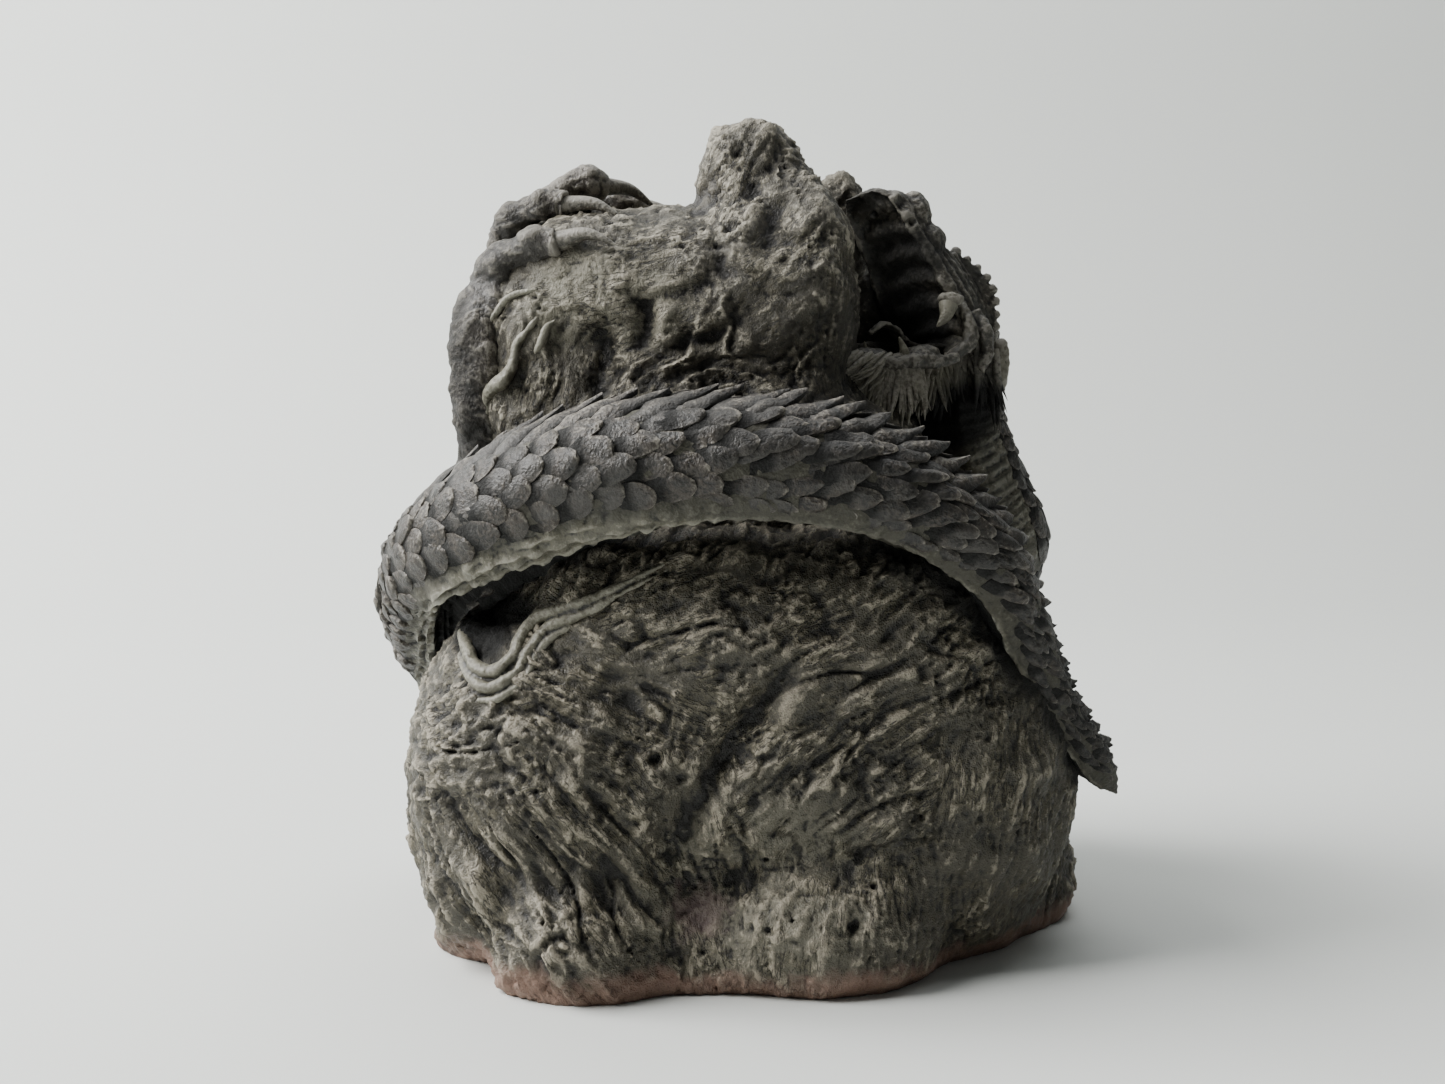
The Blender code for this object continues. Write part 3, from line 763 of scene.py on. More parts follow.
@dataclass(frozen=True)
class Clay:
    """A surface of the fired clay.

    Colours are linear. Dust, with a painted highlight, lies on what stands out and on what faces up; painted
    shade darkens the hollows and the cracks.
    """

    name: str
    # The colour painted into the hollows and cracks as shade.
    painted_shade_colour: Colour
    body: Colour
    # The colour of dusting, also painted as highlight on raised and upward faces.
    dust_and_highlight: Colour
    tint: Colour
    dust_and_highlight_share: float = 0.5
    roughness: float = 0.6
    relief: float = 0.5
    foot: bool = False

    def material(self) -> bpy.types.Material:
        """The finish as a material, made once."""
        made = bpy.data.materials.get(self.name)
        return made if made else self.mix()

    def mix(self) -> bpy.types.Material:
        """Builds the material's nodes.

        Returns:
            The material.
        """
        bench = NodeBench(self.name)
        place = bench.node("ShaderNodeTexCoord", {}, {}).outputs["Object"]
        worn, deep = bench.attribute("worn"), bench.attribute("deep")
        facing = bench.node("ShaderNodeNewGeometry", {}, {}).outputs["Normal"]
        upward = Wire(bench, bench.node("ShaderNodeSeparateXYZ", {}, {0: facing}).outputs["Z"])
        broad = bench.grain(place, 24, 3)
        middle = bench.grain(place, 5, 4)
        fine = bench.grain(place, 1.3, 3)
        specks = bench.grain(place, 0.55, 2)
        strokes = (bench.strokes(place) if self.foot else fine) - 0.5
        dragged = (broad + (middle - 0.5) * 0.5).step(0.40, 0.58)
        crack = (1 - strokes.sized().step(0.0, 0.03)) * dragged
        strokes = strokes * (dragged * 0.8 + 0.3)

        height = worn * 0.45 + deep * 0.35 + (middle - 0.5) * 2.2 + (fine - 0.5) * 2.0 + strokes * 2.8
        # The pale mark's tone: painted light on the crag's upper left, a paler tone in the other pale spots.
        body = bench.blend(bench.attribute("pale"), (*self.body, 1), (*PALE_CLAY_AND_PAINTED_LIGHT, 1))
        body = bench.blend((broad + (middle - 0.5) * 0.6).step(0.44, 0.60) * 0.55, body, (*self.tint, 1))
        # Painted shade: the colour darkens where the surface lies low.
        colour = bench.blend(height.step(-1.5, 0.25), (*self.painted_shade_colour, 1), body)
        # Dusting on what stands out and faces up, which also paints the highlight there.
        dust_and_highlight = (height + upward * 0.55 + (broad - 0.5) * 2.0 + (specks - 0.5) * 1.6).step(0.35, 1.9)
        colour = bench.blend(dust_and_highlight * self.dust_and_highlight_share, colour, (*self.dust_and_highlight, 1))
        # Painted shade in the dragged cracks, which the bump also cuts in.
        if self.foot:
            colour = bench.blend(crack * 0.85, colour, (*self.painted_shade_colour, 1))
        # Painted highlight: small bright specks.
        painted_glint = (specks + (fine - 0.5) * 0.4 + height * 0.03).step(0.72, 0.80)
        colour = bench.blend(painted_glint * 0.6, colour, (*self.dust_and_highlight, 1))
        # Painted shade wherever the mesh carries the shade mark.
        colour = bench.blend(bench.attribute("sooty"), colour, (*DEEP_PAINTED_SHADE, 1))
        if self.foot:
            colour = self.bare_foot(bench, place, colour, broad, middle)
        bench.feed(bench.shader.inputs["Base Color"], colour)
        dullness = (middle - 0.5) * 0.3 + (specks - 0.5) * 0.5 + bench.attribute("sooty") * 0.4
        bench.feed(bench.shader.inputs["Roughness"], dullness + self.roughness)
        rough = fine * 0.8 + specks * 0.5 + middle * 0.8 + strokes * 1.1
        rough = rough - crack * (0.7 if self.foot else 0.0)
        bump = bench.node(
            "ShaderNodeBump", {}, {"Strength": self.relief, "Distance": 1.0 * UNIT, "Height": rough}
        )
        bench.feed(bench.shader.inputs["Normal"], bump.outputs[0])
        return bench.material

    def bare_foot(self, bench: NodeBench, place: object, colour: object, broad: Wire, middle: Wire) -> object:
        """Reddish bare clay along the foot and in a patch rubbed bare on the front.

        Args:
            bench: The material's bench.
            place: The surface's position.
            colour: The clay's colour so far.
            broad: Wide noise.
            middle: Narrower noise.

        Returns:
            The colour with the bare clay laid over it.
        """
        low = Wire(bench, bench.node("ShaderNodeSeparateXYZ", {}, {0: place}).outputs["Z"])
        edge = low * (1 / UNIT) + (broad - 0.5) * 22 + (middle - 0.5) * 8
        rim = 1 - edge.step(3.0, 11.0)
        centre = [UNIT * value for value in (-15, -96, 27)]
        away = bench.node("ShaderNodeVectorMath", {"operation": "DISTANCE"}, {0: place, 1: centre})
        patch = 1 - (Wire(bench, away.outputs["Value"]) * (1 / UNIT) + (middle - 0.5) * 16).step(6.0, 12.0)
        colour = bench.blend(rim * 0.85, colour, (*RED_CLAY, 1))
        return bench.blend(patch * 0.6, colour, (*WORN_RED_CLAY, 1))


PALE_CLAY_AND_PAINTED_LIGHT: Colour = (0.175, 0.164, 0.124)
RED_CLAY: Colour = (0.23, 0.140, 0.104)
WORN_RED_CLAY: Colour = (0.115, 0.076, 0.070)
# The near-black painted where the shade is deepest.
DEEP_PAINTED_SHADE: Colour = (0.004, 0.004, 0.0035)


class Finish(Enum):
    """The clay's finishes: what they are laid on is in their names."""

    STONE = Clay(
        "dark_stoneware_rock", (0.006, 0.005, 0.0038), (0.058, 0.052, 0.038), (0.31, 0.285, 0.225),
        (0.082, 0.072, 0.046), dust_and_highlight_share=0.9, roughness=0.6, relief=0.9, foot=True,
    )
    FOOT_STONE = Clay(
        "dark_stoneware_rock_foot", (0.006, 0.0052, 0.0038), (0.056, 0.050, 0.035), (0.34, 0.305, 0.235),
        (0.082, 0.071, 0.042), dust_and_highlight_share=0.73, roughness=0.55, relief=0.9, foot=True,
    )
    HIDE = Clay(
        "dark_stoneware_scales", (0.006, 0.0055, 0.0045), (0.040, 0.036, 0.031), (0.225, 0.208, 0.175),
        (0.054, 0.042, 0.032), dust_and_highlight_share=0.75, roughness=0.5, relief=0.5,
    )
    SMOOTH = Clay(
        "dark_stoneware_smooth", (0.0055, 0.005, 0.004), (0.045, 0.042, 0.034), (0.24, 0.225, 0.19),
        (0.060, 0.050, 0.036), dust_and_highlight_share=0.75, roughness=0.48, relief=0.4,
    )
    PALE = Clay(
        "dark_stoneware_pale", (0.012, 0.011, 0.008), (0.098, 0.092, 0.067), (0.26, 0.25, 0.20),
        (0.085, 0.078, 0.052), dust_and_highlight_share=0.6, roughness=0.5, relief=0.35,
    )


@dataclass
class Rock:
    """One mass of the rock: lumps of clay pressed together, torn and dragged while wet.

    Each streak is a region: its middle (x, z), its size, the drag's angle, the streaks' length and width,
    their depth, and how much of it is torn into ledges. Each valley is a line of (x, z, depth, width).
    """

    name: str
    lumps: tuple[Lump, ...]
    heart: Triple
    grain: float
    streaks: tuple[tuple[float, ...], ...]
    valleys: tuple[tuple[tuple[float, float, float, float], ...], ...]
    blend: float = 7.0
    reach: float = 170.0
    weather: tuple[tuple[float, float], ...] = ((34.0, 3.0), (15.0, 1.8))
    wavy: float = 1.0
    shading_reach: int = 14
    kept: float = 0.5
    finish: Finish = Finish.STONE

    def outside(self, points: Points) -> Points:
        """How far each point is outside the blended lumps, in units.

        Args:
            points: Places in units.

        Returns:
            The distances, negative inside.
        """
        total = np.full(len(points), 1e6)
        for centre, sizes, squareness in self.lumps:
            local = np.abs((points - np.array(centre, float)) / np.array(sizes, float))
            lump = ((local**squareness).sum(axis=1) ** (1 / squareness) - 1) * min(sizes)
            mix = np.clip(0.5 + 0.5 * (total - lump) / self.blend, 0, 1)
            total = total * (1 - mix) + lump * mix - self.blend * mix * (1 - mix)
        return total

    def rough_out(self) -> bpy.types.Object:
        """A ball whose points are moved out to the lumps.

        Returns:
            The closed rough form.
        """
        sphere = bpy.ops.mesh.primitive_uv_sphere_add
        piece = Workbench.add(sphere, self.name, segments=64, ring_count=40, radius=UNIT)
        directions = unit_vector(Workbench.read(piece))
        heart = np.array(self.heart, float)
        found = np.zeros(len(directions))
        waiting = np.ones(len(directions), bool)
        for step in range(80):
            along = self.reach * (1 - step / 80)
            inside = self.outside(heart + directions * along) < 0
            found[inside & waiting] = along
            waiting &= ~inside
        Workbench.move(piece, heart + directions * (found + 1)[:, None])
        return piece

    def settle(self, points: Points) -> tuple[Points, Points]:
        """Brings points onto the lumps' surface.

        Args:
            points: Places near it.

        Returns:
            The places on it, and the outward direction at each.
        """
        for _ in range(3):
            here = self.outside(points)
            slope = np.stack(
                [(self.outside(points + step) - here) / 0.2 for step in np.eye(3) * 0.2], axis=1
            )
            steep = np.maximum((slope**2).sum(axis=1, keepdims=True), 0.05)
            points = points - np.clip(here[:, None] / steep, -4, 4) * slope
        return points, unit_vector(slope)

    def relief(self, points: Points, outward: Points) -> Points:
        """The carving's height at each place, in units.

        Args:
            points: Places on the lumps.
            outward: The outward direction at each.

        Returns:
            The heights.
        """
        warp = np.stack([Grain(seed).at(points / 23) for seed in (1, 2, 3)], axis=1)
        bent = points + warp * 2.6
        ragged = ease(Grain(9).at(points / 21) + 0.5 * Grain(10).at(points / 8), -0.35, 0.35)
        frontal = ease(-outward[:, 1], -0.35, 0.25)
        weights = np.full(len(points), 0.3)
        streaks, ledges = Grain(11).torn(bent, 65, 22, 7)
        total = 0.3 * (0.7 * streaks + 1.0 * ledges * ragged)
        for number, (x, z, wide, tall, turn, long, narrow, depth, torn) in enumerate(self.streaks):
            near = ((points[:, 0] - x) / wide) ** 2 + ((points[:, 2] - z) / tall) ** 2
            share = np.exp(-near * 1.3) * frontal
            streaks, ledges = Grain(20 + number).torn(bent, turn, long, narrow)
            weights += share
            total += share * depth * (self.wavy * streaks + torn * (ledges - 0.4) * (0.3 + 0.7 * ragged))
        total *= 1.45 / weights
        total += 1.8 * (0.32 - np.abs(Grain(4).at(bent / 26)))
        total += 0.8 * (0.3 - np.abs(Grain(12).at(bent / 10)))
        crumbs = 0.4 * (0.3 - np.abs(Grain(5).at(points / 3.2))) + 0.4 * Grain(6).at(points / 1.7)
        total += crumbs * (0.5 + 1.1 * ragged)
        holes = 1.9 * Grain(7).pits(bent / 9, 0.16) + 1.6 * Grain(8).pits(points / 4, 0.22)
        total -= holes * (0.4 + ragged)
        flat = points[:, [0, 2]] + 2.0 * warp[:, [0, 2]]
        for valley in self.valleys:
            deepest = np.zeros(len(points))
            for x, z, depth, width in smooth_line(valley, 8):
                gap = np.linalg.norm(flat - (x, z), axis=1) / width
                deepest = np.maximum(deepest, depth * ridge(gap, 0, 1))
            total -= deepest * frontal
        return total

    def turns(self, points: Points) -> Points:
        """The angle of the nearest streaks at each place, in radians.

        Args:
            points: Places in units.

        Returns:
            The angles.
        """
        shift = np.stack([Grain(seed).at(points / 9) for seed in (14, 15)], axis=1) * 9
        found = np.full(len(points), math.radians(65))
        nearest = np.full(len(points), 2.4)
        for x, z, wide, tall, turn, *_ in self.streaks:
            gap = (((points[:, [0, 2]] + shift - (x, z)) / (wide, tall)) ** 2).sum(axis=1)
            found = np.where(gap < nearest, math.radians(turn), found)
            nearest = np.minimum(gap, nearest)
        return found

    def build(self) -> bpy.types.Object:
        """Makes the mass: lumps, weathering and carving, cut flat at the foot.

        Returns:
            The finished piece.
        """
        piece = Workbench.fuse(self.name, [self.rough_out()], self.grain, 2)
        points, outward = self.settle(Workbench.read(piece))
        height = self.relief(points, outward)
        for size, strength in self.weather:
            height += strength * np.array([noise.noise(Vector(place / size)) for place in points])
        foot = ease(points[:, 2], -2, 5)
        points = points + outward * (height * (0.35 + 0.65 * foot) - (1 - foot) * 1.2)[:, None]
        points[:, 2] = np.where(points[:, 2] < 0, points[:, 2] * 0.02, points[:, 2])
        Workbench.move(piece, points)
        level = {"plane_co": (0, 0, 0), "plane_no": (0, 0, 1)}
        Workbench.edit(
            piece,
            partial(bpy.ops.mesh.bisect, **level, clear_inner=True),
            partial(bpy.ops.mesh.fill_holes, sides=0),
        )
        points = Workbench.read(piece)
        Workbench.mark(piece, "turn", self.turns(points))
        # Painted shade on the rock where the body shadows it.
        Workbench.mark(piece, "sooty", SPINE.shade(points))
        Workbench.finish(piece, self.finish, self.shading_reach, kept=self.kept)
        return piece


class Spine:
    """The dragon's middle line, with its thickness and the direction of its back."""

    RADIUS = 20.0
    BELLY = 0.80
    STATIONS = (
        ((127, -33, 49), 0.06), ((119, -40, 59), 0.38), ((108, -50, 73), 0.46), ((97, -59, 90), 0.54),
        ((86, -67, 112), 0.63), ((73, -75, 134), 0.73), ((46, -82, 154), 0.83), ((16, -87, 163), 0.91),
        ((-15, -88, 165), 0.96), ((-46, -85, 161), 1.00), ((-78, -74, 148), 1.00), ((-99, -52, 132), 1.00),
        ((-106, -20, 114), 1.00), ((-105, 14, 95), 1.03), ((-96, 44, 80), 1.12), ((-74, 70, 70), 1.20),
        ((-40, 84, 66), 1.28), ((0, 88, 70), 1.30), ((38, 82, 82), 1.24), ((68, 66, 97), 1.12),
        ((88, 44, 114), 0.98), ((94, 24, 131), 0.86), ((86.5, 14, 151), 0.76), ((78.5, 8, 172), 0.72),
        ((76, 5, 192), 0.70), ((78, 4, 206), 0.60),
    )

    def __init__(self) -> None:
        """Works out evenly spaced frames along the line."""
        line = smooth_line([(*place, share) for place, share in self.STATIONS], 24)
        steps = np.linalg.norm(np.diff(line[:, :3], axis=0), axis=1)
        along = np.concatenate([[0], np.cumsum(steps)])
        self.length = along[-1]
        self.marks = np.linspace(0, self.length, int(self.length))
        line = np.column_stack([np.interp(self.marks, along, line[:, axis]) for axis in range(4)])
        self.places = line[:, :3]
        self.tangents = unit_vector(np.gradient(self.places, axis=0))
        part = self.marks / self.length
        tail = np.clip(1 - part / 0.35, 0, 1)[:, None]
        neck = np.clip((part - 0.80) / 0.12, 0, 1)[:, None]
        wanted = np.array((0, 0.12, 1)) * (1 - tail) * (1 - neck)
        wanted = wanted + np.array((0.45, 0, 1)) * tail + np.array((0.72, 0.69, 0.10)) * neck
        self.backs = unit_vector(wanted - self.tangents * (wanted * self.tangents).sum(axis=1)[:, None])
        self.radii = line[:, 3] * self.RADIUS

    def radius(self, marks: Points) -> Points:
        """The body's radius at distances from the tail's tip."""
        return np.interp(marks, self.marks, self.radii)

    def share(self, marks: Points) -> Points:
        """The body's radius as a share of the full one, 1 at most."""
        return np.minimum(1, self.radius(marks) / self.RADIUS)

    def at(self, marks: Points, angles: Points, heights: Points) -> Points:
        """Finds places on and off the body's skin.

        Args:
            marks: Distances along the body from the tail's tip.
            angles: Turns from the line of the back, in degrees, negative towards the front.
            heights: Distances off the skin.

        Returns:
            The places, in units.
        """
        marks, angles, heights = np.broadcast_arrays(marks, angles, heights)
        shape = marks.shape
        marks, angles, heights = marks.ravel(), np.radians(angles.ravel()), heights.ravel()
        place, tangent, back = (
            np.column_stack([np.interp(marks, self.marks, rows[:, axis]) for axis in range(3)])
            for rows in (self.places, self.tangents, self.backs)
        )
        tangent = unit_vector(tangent)
        back = unit_vector(back - tangent * (back * tangent).sum(axis=1)[:, None])
        side = np.cross(tangent, back)
        reach = self.radius(marks) + heights
        down = np.maximum(np.cos(angles) * reach, -self.BELLY * self.radius(marks) - np.maximum(heights, 0))
        found = place + back * down[:, None] + side * (np.sin(angles) * reach)[:, None]
        return found.reshape(*shape, 3)

    def shade(self, points: Points) -> Points:
        """How much painted shade lies on the rock beside the body, where its shadow falls, from 0 to 1.

        Args:
            points: Places in units.

        Returns:
            The shares.
        """
        found = np.full(len(points), 1e6)
        for place, radius in zip(self.places[::4], self.radii[::4]):
            found = np.minimum(found, np.linalg.norm(points - place, axis=1) - radius)
        ragged = 2.5 * Grain(17).at(points / 7)
        return 0.92 * (1 - ease(found + ragged, 0.5, 7.5))


SPINE = Spine()


@dataclass
class DragonBody:
    """The dragon's coiled body: skin with a folded belly, overlapping scales and swept blades on the back."""

    spine: Spine
    scale_pitch: float = 9.4
    scale_columns: tuple[float, ...] = (52, 73, 94, 116, 138)
    scale_rise: float = 1.3
    blade_length: float = 24.0
    blade_width: float = 4.4
    skin_rings: int = 780
    skin_sides: int = 120
    skin_kept: float = 0.55
    edges: tuple[tuple[float, float], ...] = (
        (0, 142), (90, 142), (115, 146), (140, 150), (165, 150), (200, 149), (235, 138), (262, 135),
        (290, 140), (305, 150), (320, 160), (350, 160), (380, 150), (420, 125), (640, 119), (690, 86),
        (754, 84),
    )
    rims: tuple[tuple[float, float, float], ...] = (
        (0, 143, 1.0), (100, 143, 1.6), (150, 143, 2.4), (200, 146, 3.4), (230, 158, 4.2), (260, 163, 5.2),
        (290, 162, 5.4), (305, 158, 4.8), (320, 174, 2.4), (350, 177, 1.6), (385, 160, 1.4), (420, 143, 1.3),
        (620, 143, 1.2), (660, 143, 0),
    )

    def belly_edge(self, marks: Points) -> Points:
        """The turn from the back at which the belly's skin starts, in degrees."""
        return np.interp(marks, *zip(*self.edges))

    def inset(self, marks: Points) -> Points:
        """How far the skin sits inside the body's radius, deepest on the slim end of the tail."""
        return np.interp(marks, (0, 60, 110, 150, 265, 290, 330, 350), (1.0, 2.4, 2.0, 0.2, 0.2, 1.4, 1.2, 0))

    def skin(self) -> bpy.types.Object:
        """The skin under the scales: layered folds along the belly, and a thin scalloped rim under them.

        Returns:
            The closed skin, marked with its painted shade.
        """
        spine = self.spine
        marks = np.linspace(0.5, spine.length - 1, self.skin_rings)[:, None]
        angles = np.linspace(0, 360, self.skin_sides, endpoint=False)[None, :]
        share = spine.share(marks)
        turn = np.abs(np.where(angles > 180, angles - 360, angles))
        wave = 2.5 * np.sin(marks * 2 * math.pi / 19) + 1.5 * np.sin(marks * 2 * math.pi / 7.3)
        edge = self.belly_edge(marks) + wave
        belly = ease(turn, edge - 2, edge + 3)
        near = np.interp(marks, *np.array(self.rims)[:, :2].T)
        fin = np.where(angles > 180, near, 143) + 0.5 * wave
        drop = np.interp(marks, *np.array(self.rims)[:, ::2].T)
        drift = 2.2 * np.sin(marks / 13) + 1.2 * np.sin(marks / 4.7)
        layers = 0.5 * np.sin((turn + drift) * 2 * math.pi / 8.5)
        layers = layers + 0.3 * np.sin((turn - drift) * 2 * math.pi / 3.9)
        neck = ease(marks, 640, 680)
        bend = ease(marks, 255, 275) * (1 - ease(marks, 352, 375))
        phase = (marks / (9 - 5.3 * neck) + turn / (26 + 400 * neck) + 0.2 * np.sin(marks / 5)) % 1
        folds = np.where(phase < 0.86, phase / 0.86, (1 - phase) / 0.14) - 0.5
        height = -0.6 + belly * (0.5 + layers * (1 - 0.7 * neck) + (0.8 * bend + 1.3 * neck) * folds)
        scallop = 0.5 + 0.5 * np.sin(marks * 2 * math.pi / 8.3 + 1.5 * np.sin(marks / 11))
        hem = ease(turn, fin - 34, fin - 3) * (1 - ease(turn, fin + 1, fin + 7))
        hollow = ease(turn, fin + 2, fin + 9) * (marks < 640)
        crease = ridge(turn, fin - 8, 1.8) * (marks < 620)
        height = height + (hem * drop * (0.85 + 0.25 * scallop) - 0.8 * crease - 7 * hollow) * share
        piece = Workbench.skin("body_skin", spine.at(marks, angles, height * share - self.inset(marks)))
        Workbench.roughen(piece, ((55, 5.0, 0.4), (56, 1.8, 0.3)))
        count = len(piece.data.vertices)
        # Painted shade: under the scalloped rim and in the hollow below it, along the far belly, in the
        # neck's grooves and just below the belly's edge.
        under = (ease(turn, fin + 1, fin + 5) * (marks < 640) + 0.6 * crease).ravel()
        far = (angles < 180) * ease(turn, 95, 105) * ease(marks, 215, 245) * (1 - ease(marks, 385, 410))
        grooves = 0.6 * neck * belly * (phase > 0.72)
        under = np.maximum(under, np.maximum(far, grooves).ravel())
        under = np.maximum(under, (0.55 * (1 - ease(turn, edge - 4, edge + 1))).ravel())
        Workbench.mark(piece, "sooty", np.concatenate([under, np.zeros(count)])[:count])
        return piece

    def scales(self) -> bpy.types.Object:
        """The flank scales: one modelled, then set in staggered rows with their tips to the tail.

        Returns:
            All the scales as one piece.
        """
        pattern = Workbench.plate(6, 7, 1.6)
        points = Workbench.read(pattern)
        across, lower = points[:, 0], points[:, 2] < -0.1
        turn = np.radians(-42 + 126 * points[:, 1])
        along, outline = (np.sin(turn) + 0.669) / 1.664, np.cos(turn)
        # The rim is given a painted highlight and the slit under the next scale's tip a painted shade.
        rim = np.maximum(ease(along, 0.84, 0.98), 0.6 * ease(np.abs(across), 0.7, 1) * ease(along, 0.3, 0.6))
        dome = (1 - across**2) * 0.45 + 1.35 * along - 0.65 - 0.3 * ease(along, 0.92, 1)
        dome = np.where(lower, -1.5, dome)
        slit = 1 - ease(along, 0.36, 0.50)
        placed, worn, sooty = [], [], []
        chance = np.random.default_rng(5)
        for sign in (1, -1):
            for column, angle in enumerate(self.scale_columns):
                mark = 16.0 + (column * 0.45 % 1) * self.scale_pitch * 0.6
                while mark < self.spine.length - 8:
                    share = float(self.spine.share(mark))
                    wild = 1 + 0.9 * float(1 - ease(mark, 170, 250))
                    pitch = self.scale_pitch * (0.15 + 0.85 * share)
                    radius = float(self.spine.radius(mark))
                    long = pitch * (1.40 + 0.45 * (wild - 1)) * chance.uniform(0.9, 1.12)
                    wide = math.radians(16.5 - 4.5 * (wild - 1)) * radius
                    wide *= 1 + 0.10 * wild * chance.uniform(-1, 1)
                    lean = chance.uniform(-0.12, 0.12) * wild - 0.42 * (wild - 1)
                    marks = mark + pitch * (0.6 + 0.09 * wild * chance.uniform(-1, 1)) - along * long
                    arc = across * outline * wide + lean * along * long
                    angles = sign * (angle + chance.uniform(-2.5, 2.5) * wild + np.degrees(arc / radius))
                    rise = self.scale_rise * (0.4 + 0.6 * share) * (1 + 0.25 * wild * chance.uniform(-1, 1))
                    if angle < float(self.belly_edge(mark)) - 8:
                        sunk = float(self.inset(mark)) + 0.35 * wild * chance.uniform(-1, 1)
                        placed.append(self.spine.at(marks, angles, dome * rise - sunk))
                        # Painted highlight along the rim and painted shade in the slit.
                        rim_light_and_slit_shade = (2.3 + wild) * rim - 0.7 - 1.6 * slit - 0.3 * wild
                        worn.append(rim_light_and_slit_shade + chance.uniform(-0.8, 0.8))
                        # Painted shade on the underside and in the slit.
                        sooty.append(np.where(lower, 0.9, 0.95 * slit))
                    mark += pitch
        marks = {"worn": np.array(worn), "sooty": np.array(sooty)}
        scales = Workbench.copies("flank_scales", pattern, np.array(placed), marks)
        return Workbench.roughen(scales, ((51, 7.0, 0.8), (52, 2.0, 0.5)))

    def blades(self) -> bpy.types.Object:
        """The long leaves that sweep from the flank up over the back and stand out as its teeth.

        Returns:
            All the leaves as one piece.
        """
        pattern = Workbench.plate(4, 9, 1.0)
        points = Workbench.read(pattern)
        across, along, lower = points[:, 0], points[:, 1], points[:, 2] < -0.1
        outline = np.where(along < 0.3, 0.7 + along, 1 - (np.maximum(along - 0.3, 0) / 0.7) ** 1.5 * 0.93)
        placed, worn, sooty = [], [], []
        chance = np.random.default_rng(8)
        for sign in (1, -1):
            mark = 24.0 + (3 if sign < 0 else 0)
            while mark < self.spine.length - 12:
                share = float(self.spine.share(mark))
                radius = float(self.spine.radius(mark))
                sweep = float(ease(mark, 100, 240) * (1 - 0.4 * ease(mark, 600, 690)))
                long = (7 + (self.blade_length - 7) * sweep) * chance.uniform(0.9, 1.1)
                wide = (3.6 + (self.blade_width - 3.6) * sweep) * share**0.5
                root = (32 + 16 * sweep) * chance.uniform(0.9, 1.1)
                arc = math.radians(root) * radius
                length = math.hypot(long, arc)
                ahead = np.array((-long, -arc)) / length
                aside = np.array((-ahead[1], ahead[0]))
                bow = np.sin(along * math.pi) * long * 0.08
                marks = mark + ahead[0] * along * length + aside[0] * (across * outline * wide + bow)
                arcs = arc + ahead[1] * along * length + aside[1] * (across * outline * wide + bow)
                tip = float(np.interp(mark, (40, 100, 140, 190, 240), (3.6, 5.2, 7.6, 7.0, 4.8)))
                tip *= 1.0 if sign < 0 else 0.6
                sunk = float(self.inset(mark)) + chance.uniform(-0.3, 0.3)
                rise = 2.1 * ease(along, 0, 0.5) - 1.6 + tip * along**2.8 * share**0.5 - sunk
                crown = (1.3 * (1 - np.abs(across) ** 1.3) + 0.8 * across) * np.sqrt(outline)
                crown *= 0.5 + 0.5 * share
                heights = np.where(lower, rise - 1.8, rise + crown)
                placed.append(self.spine.at(marks, sign * np.degrees(arcs / radius), heights))
                # Painted highlight along each leaf's upper edge and tip.
                bright = 2.5 * (1 - np.abs(across - 0.25)) + 0.9 * ease(along, 0.8, 1) - 1.3
                worn.append(bright + chance.uniform(-0.7, 0.5))
                # Painted shade along the leaf's edges and on its underside.
                edge = np.maximum(0.95 * ease(-across, 0.35, 0.9), 0.7 * ease(across, 0.8, 1))
                sooty.append(np.where(lower, 0.9, edge * (1 - 0.5 * along)))
                pitch = float(np.interp(mark, (40, 130, 180, 215), (7.6, 8.2, 9.4, 10.2)))
                mark += pitch * chance.uniform(0.85, 1.15)
        marks = {"worn": np.array(worn), "sooty": np.clip(np.array(sooty), 0, 1)}
        blades = Workbench.copies("back_blades", pattern, np.array(placed), marks)
        return Workbench.roughen(blades, ((53, 6.0, 0.9), (54, 2.0, 0.45)))

    def build(self) -> list[bpy.types.Object]:
        """Makes and dresses the body's pieces.

        Returns:
            The pieces.
        """
        skin = self.skin()
        Workbench.finish(skin, Finish.PALE, 4, kept=self.skin_kept)
        scales = self.scales()
        Workbench.finish(scales, Finish.HIDE, 3, 50)
        blades = self.blades()
        Workbench.finish(blades, Finish.HIDE, 3, 50)
        return [skin, scales, blades]


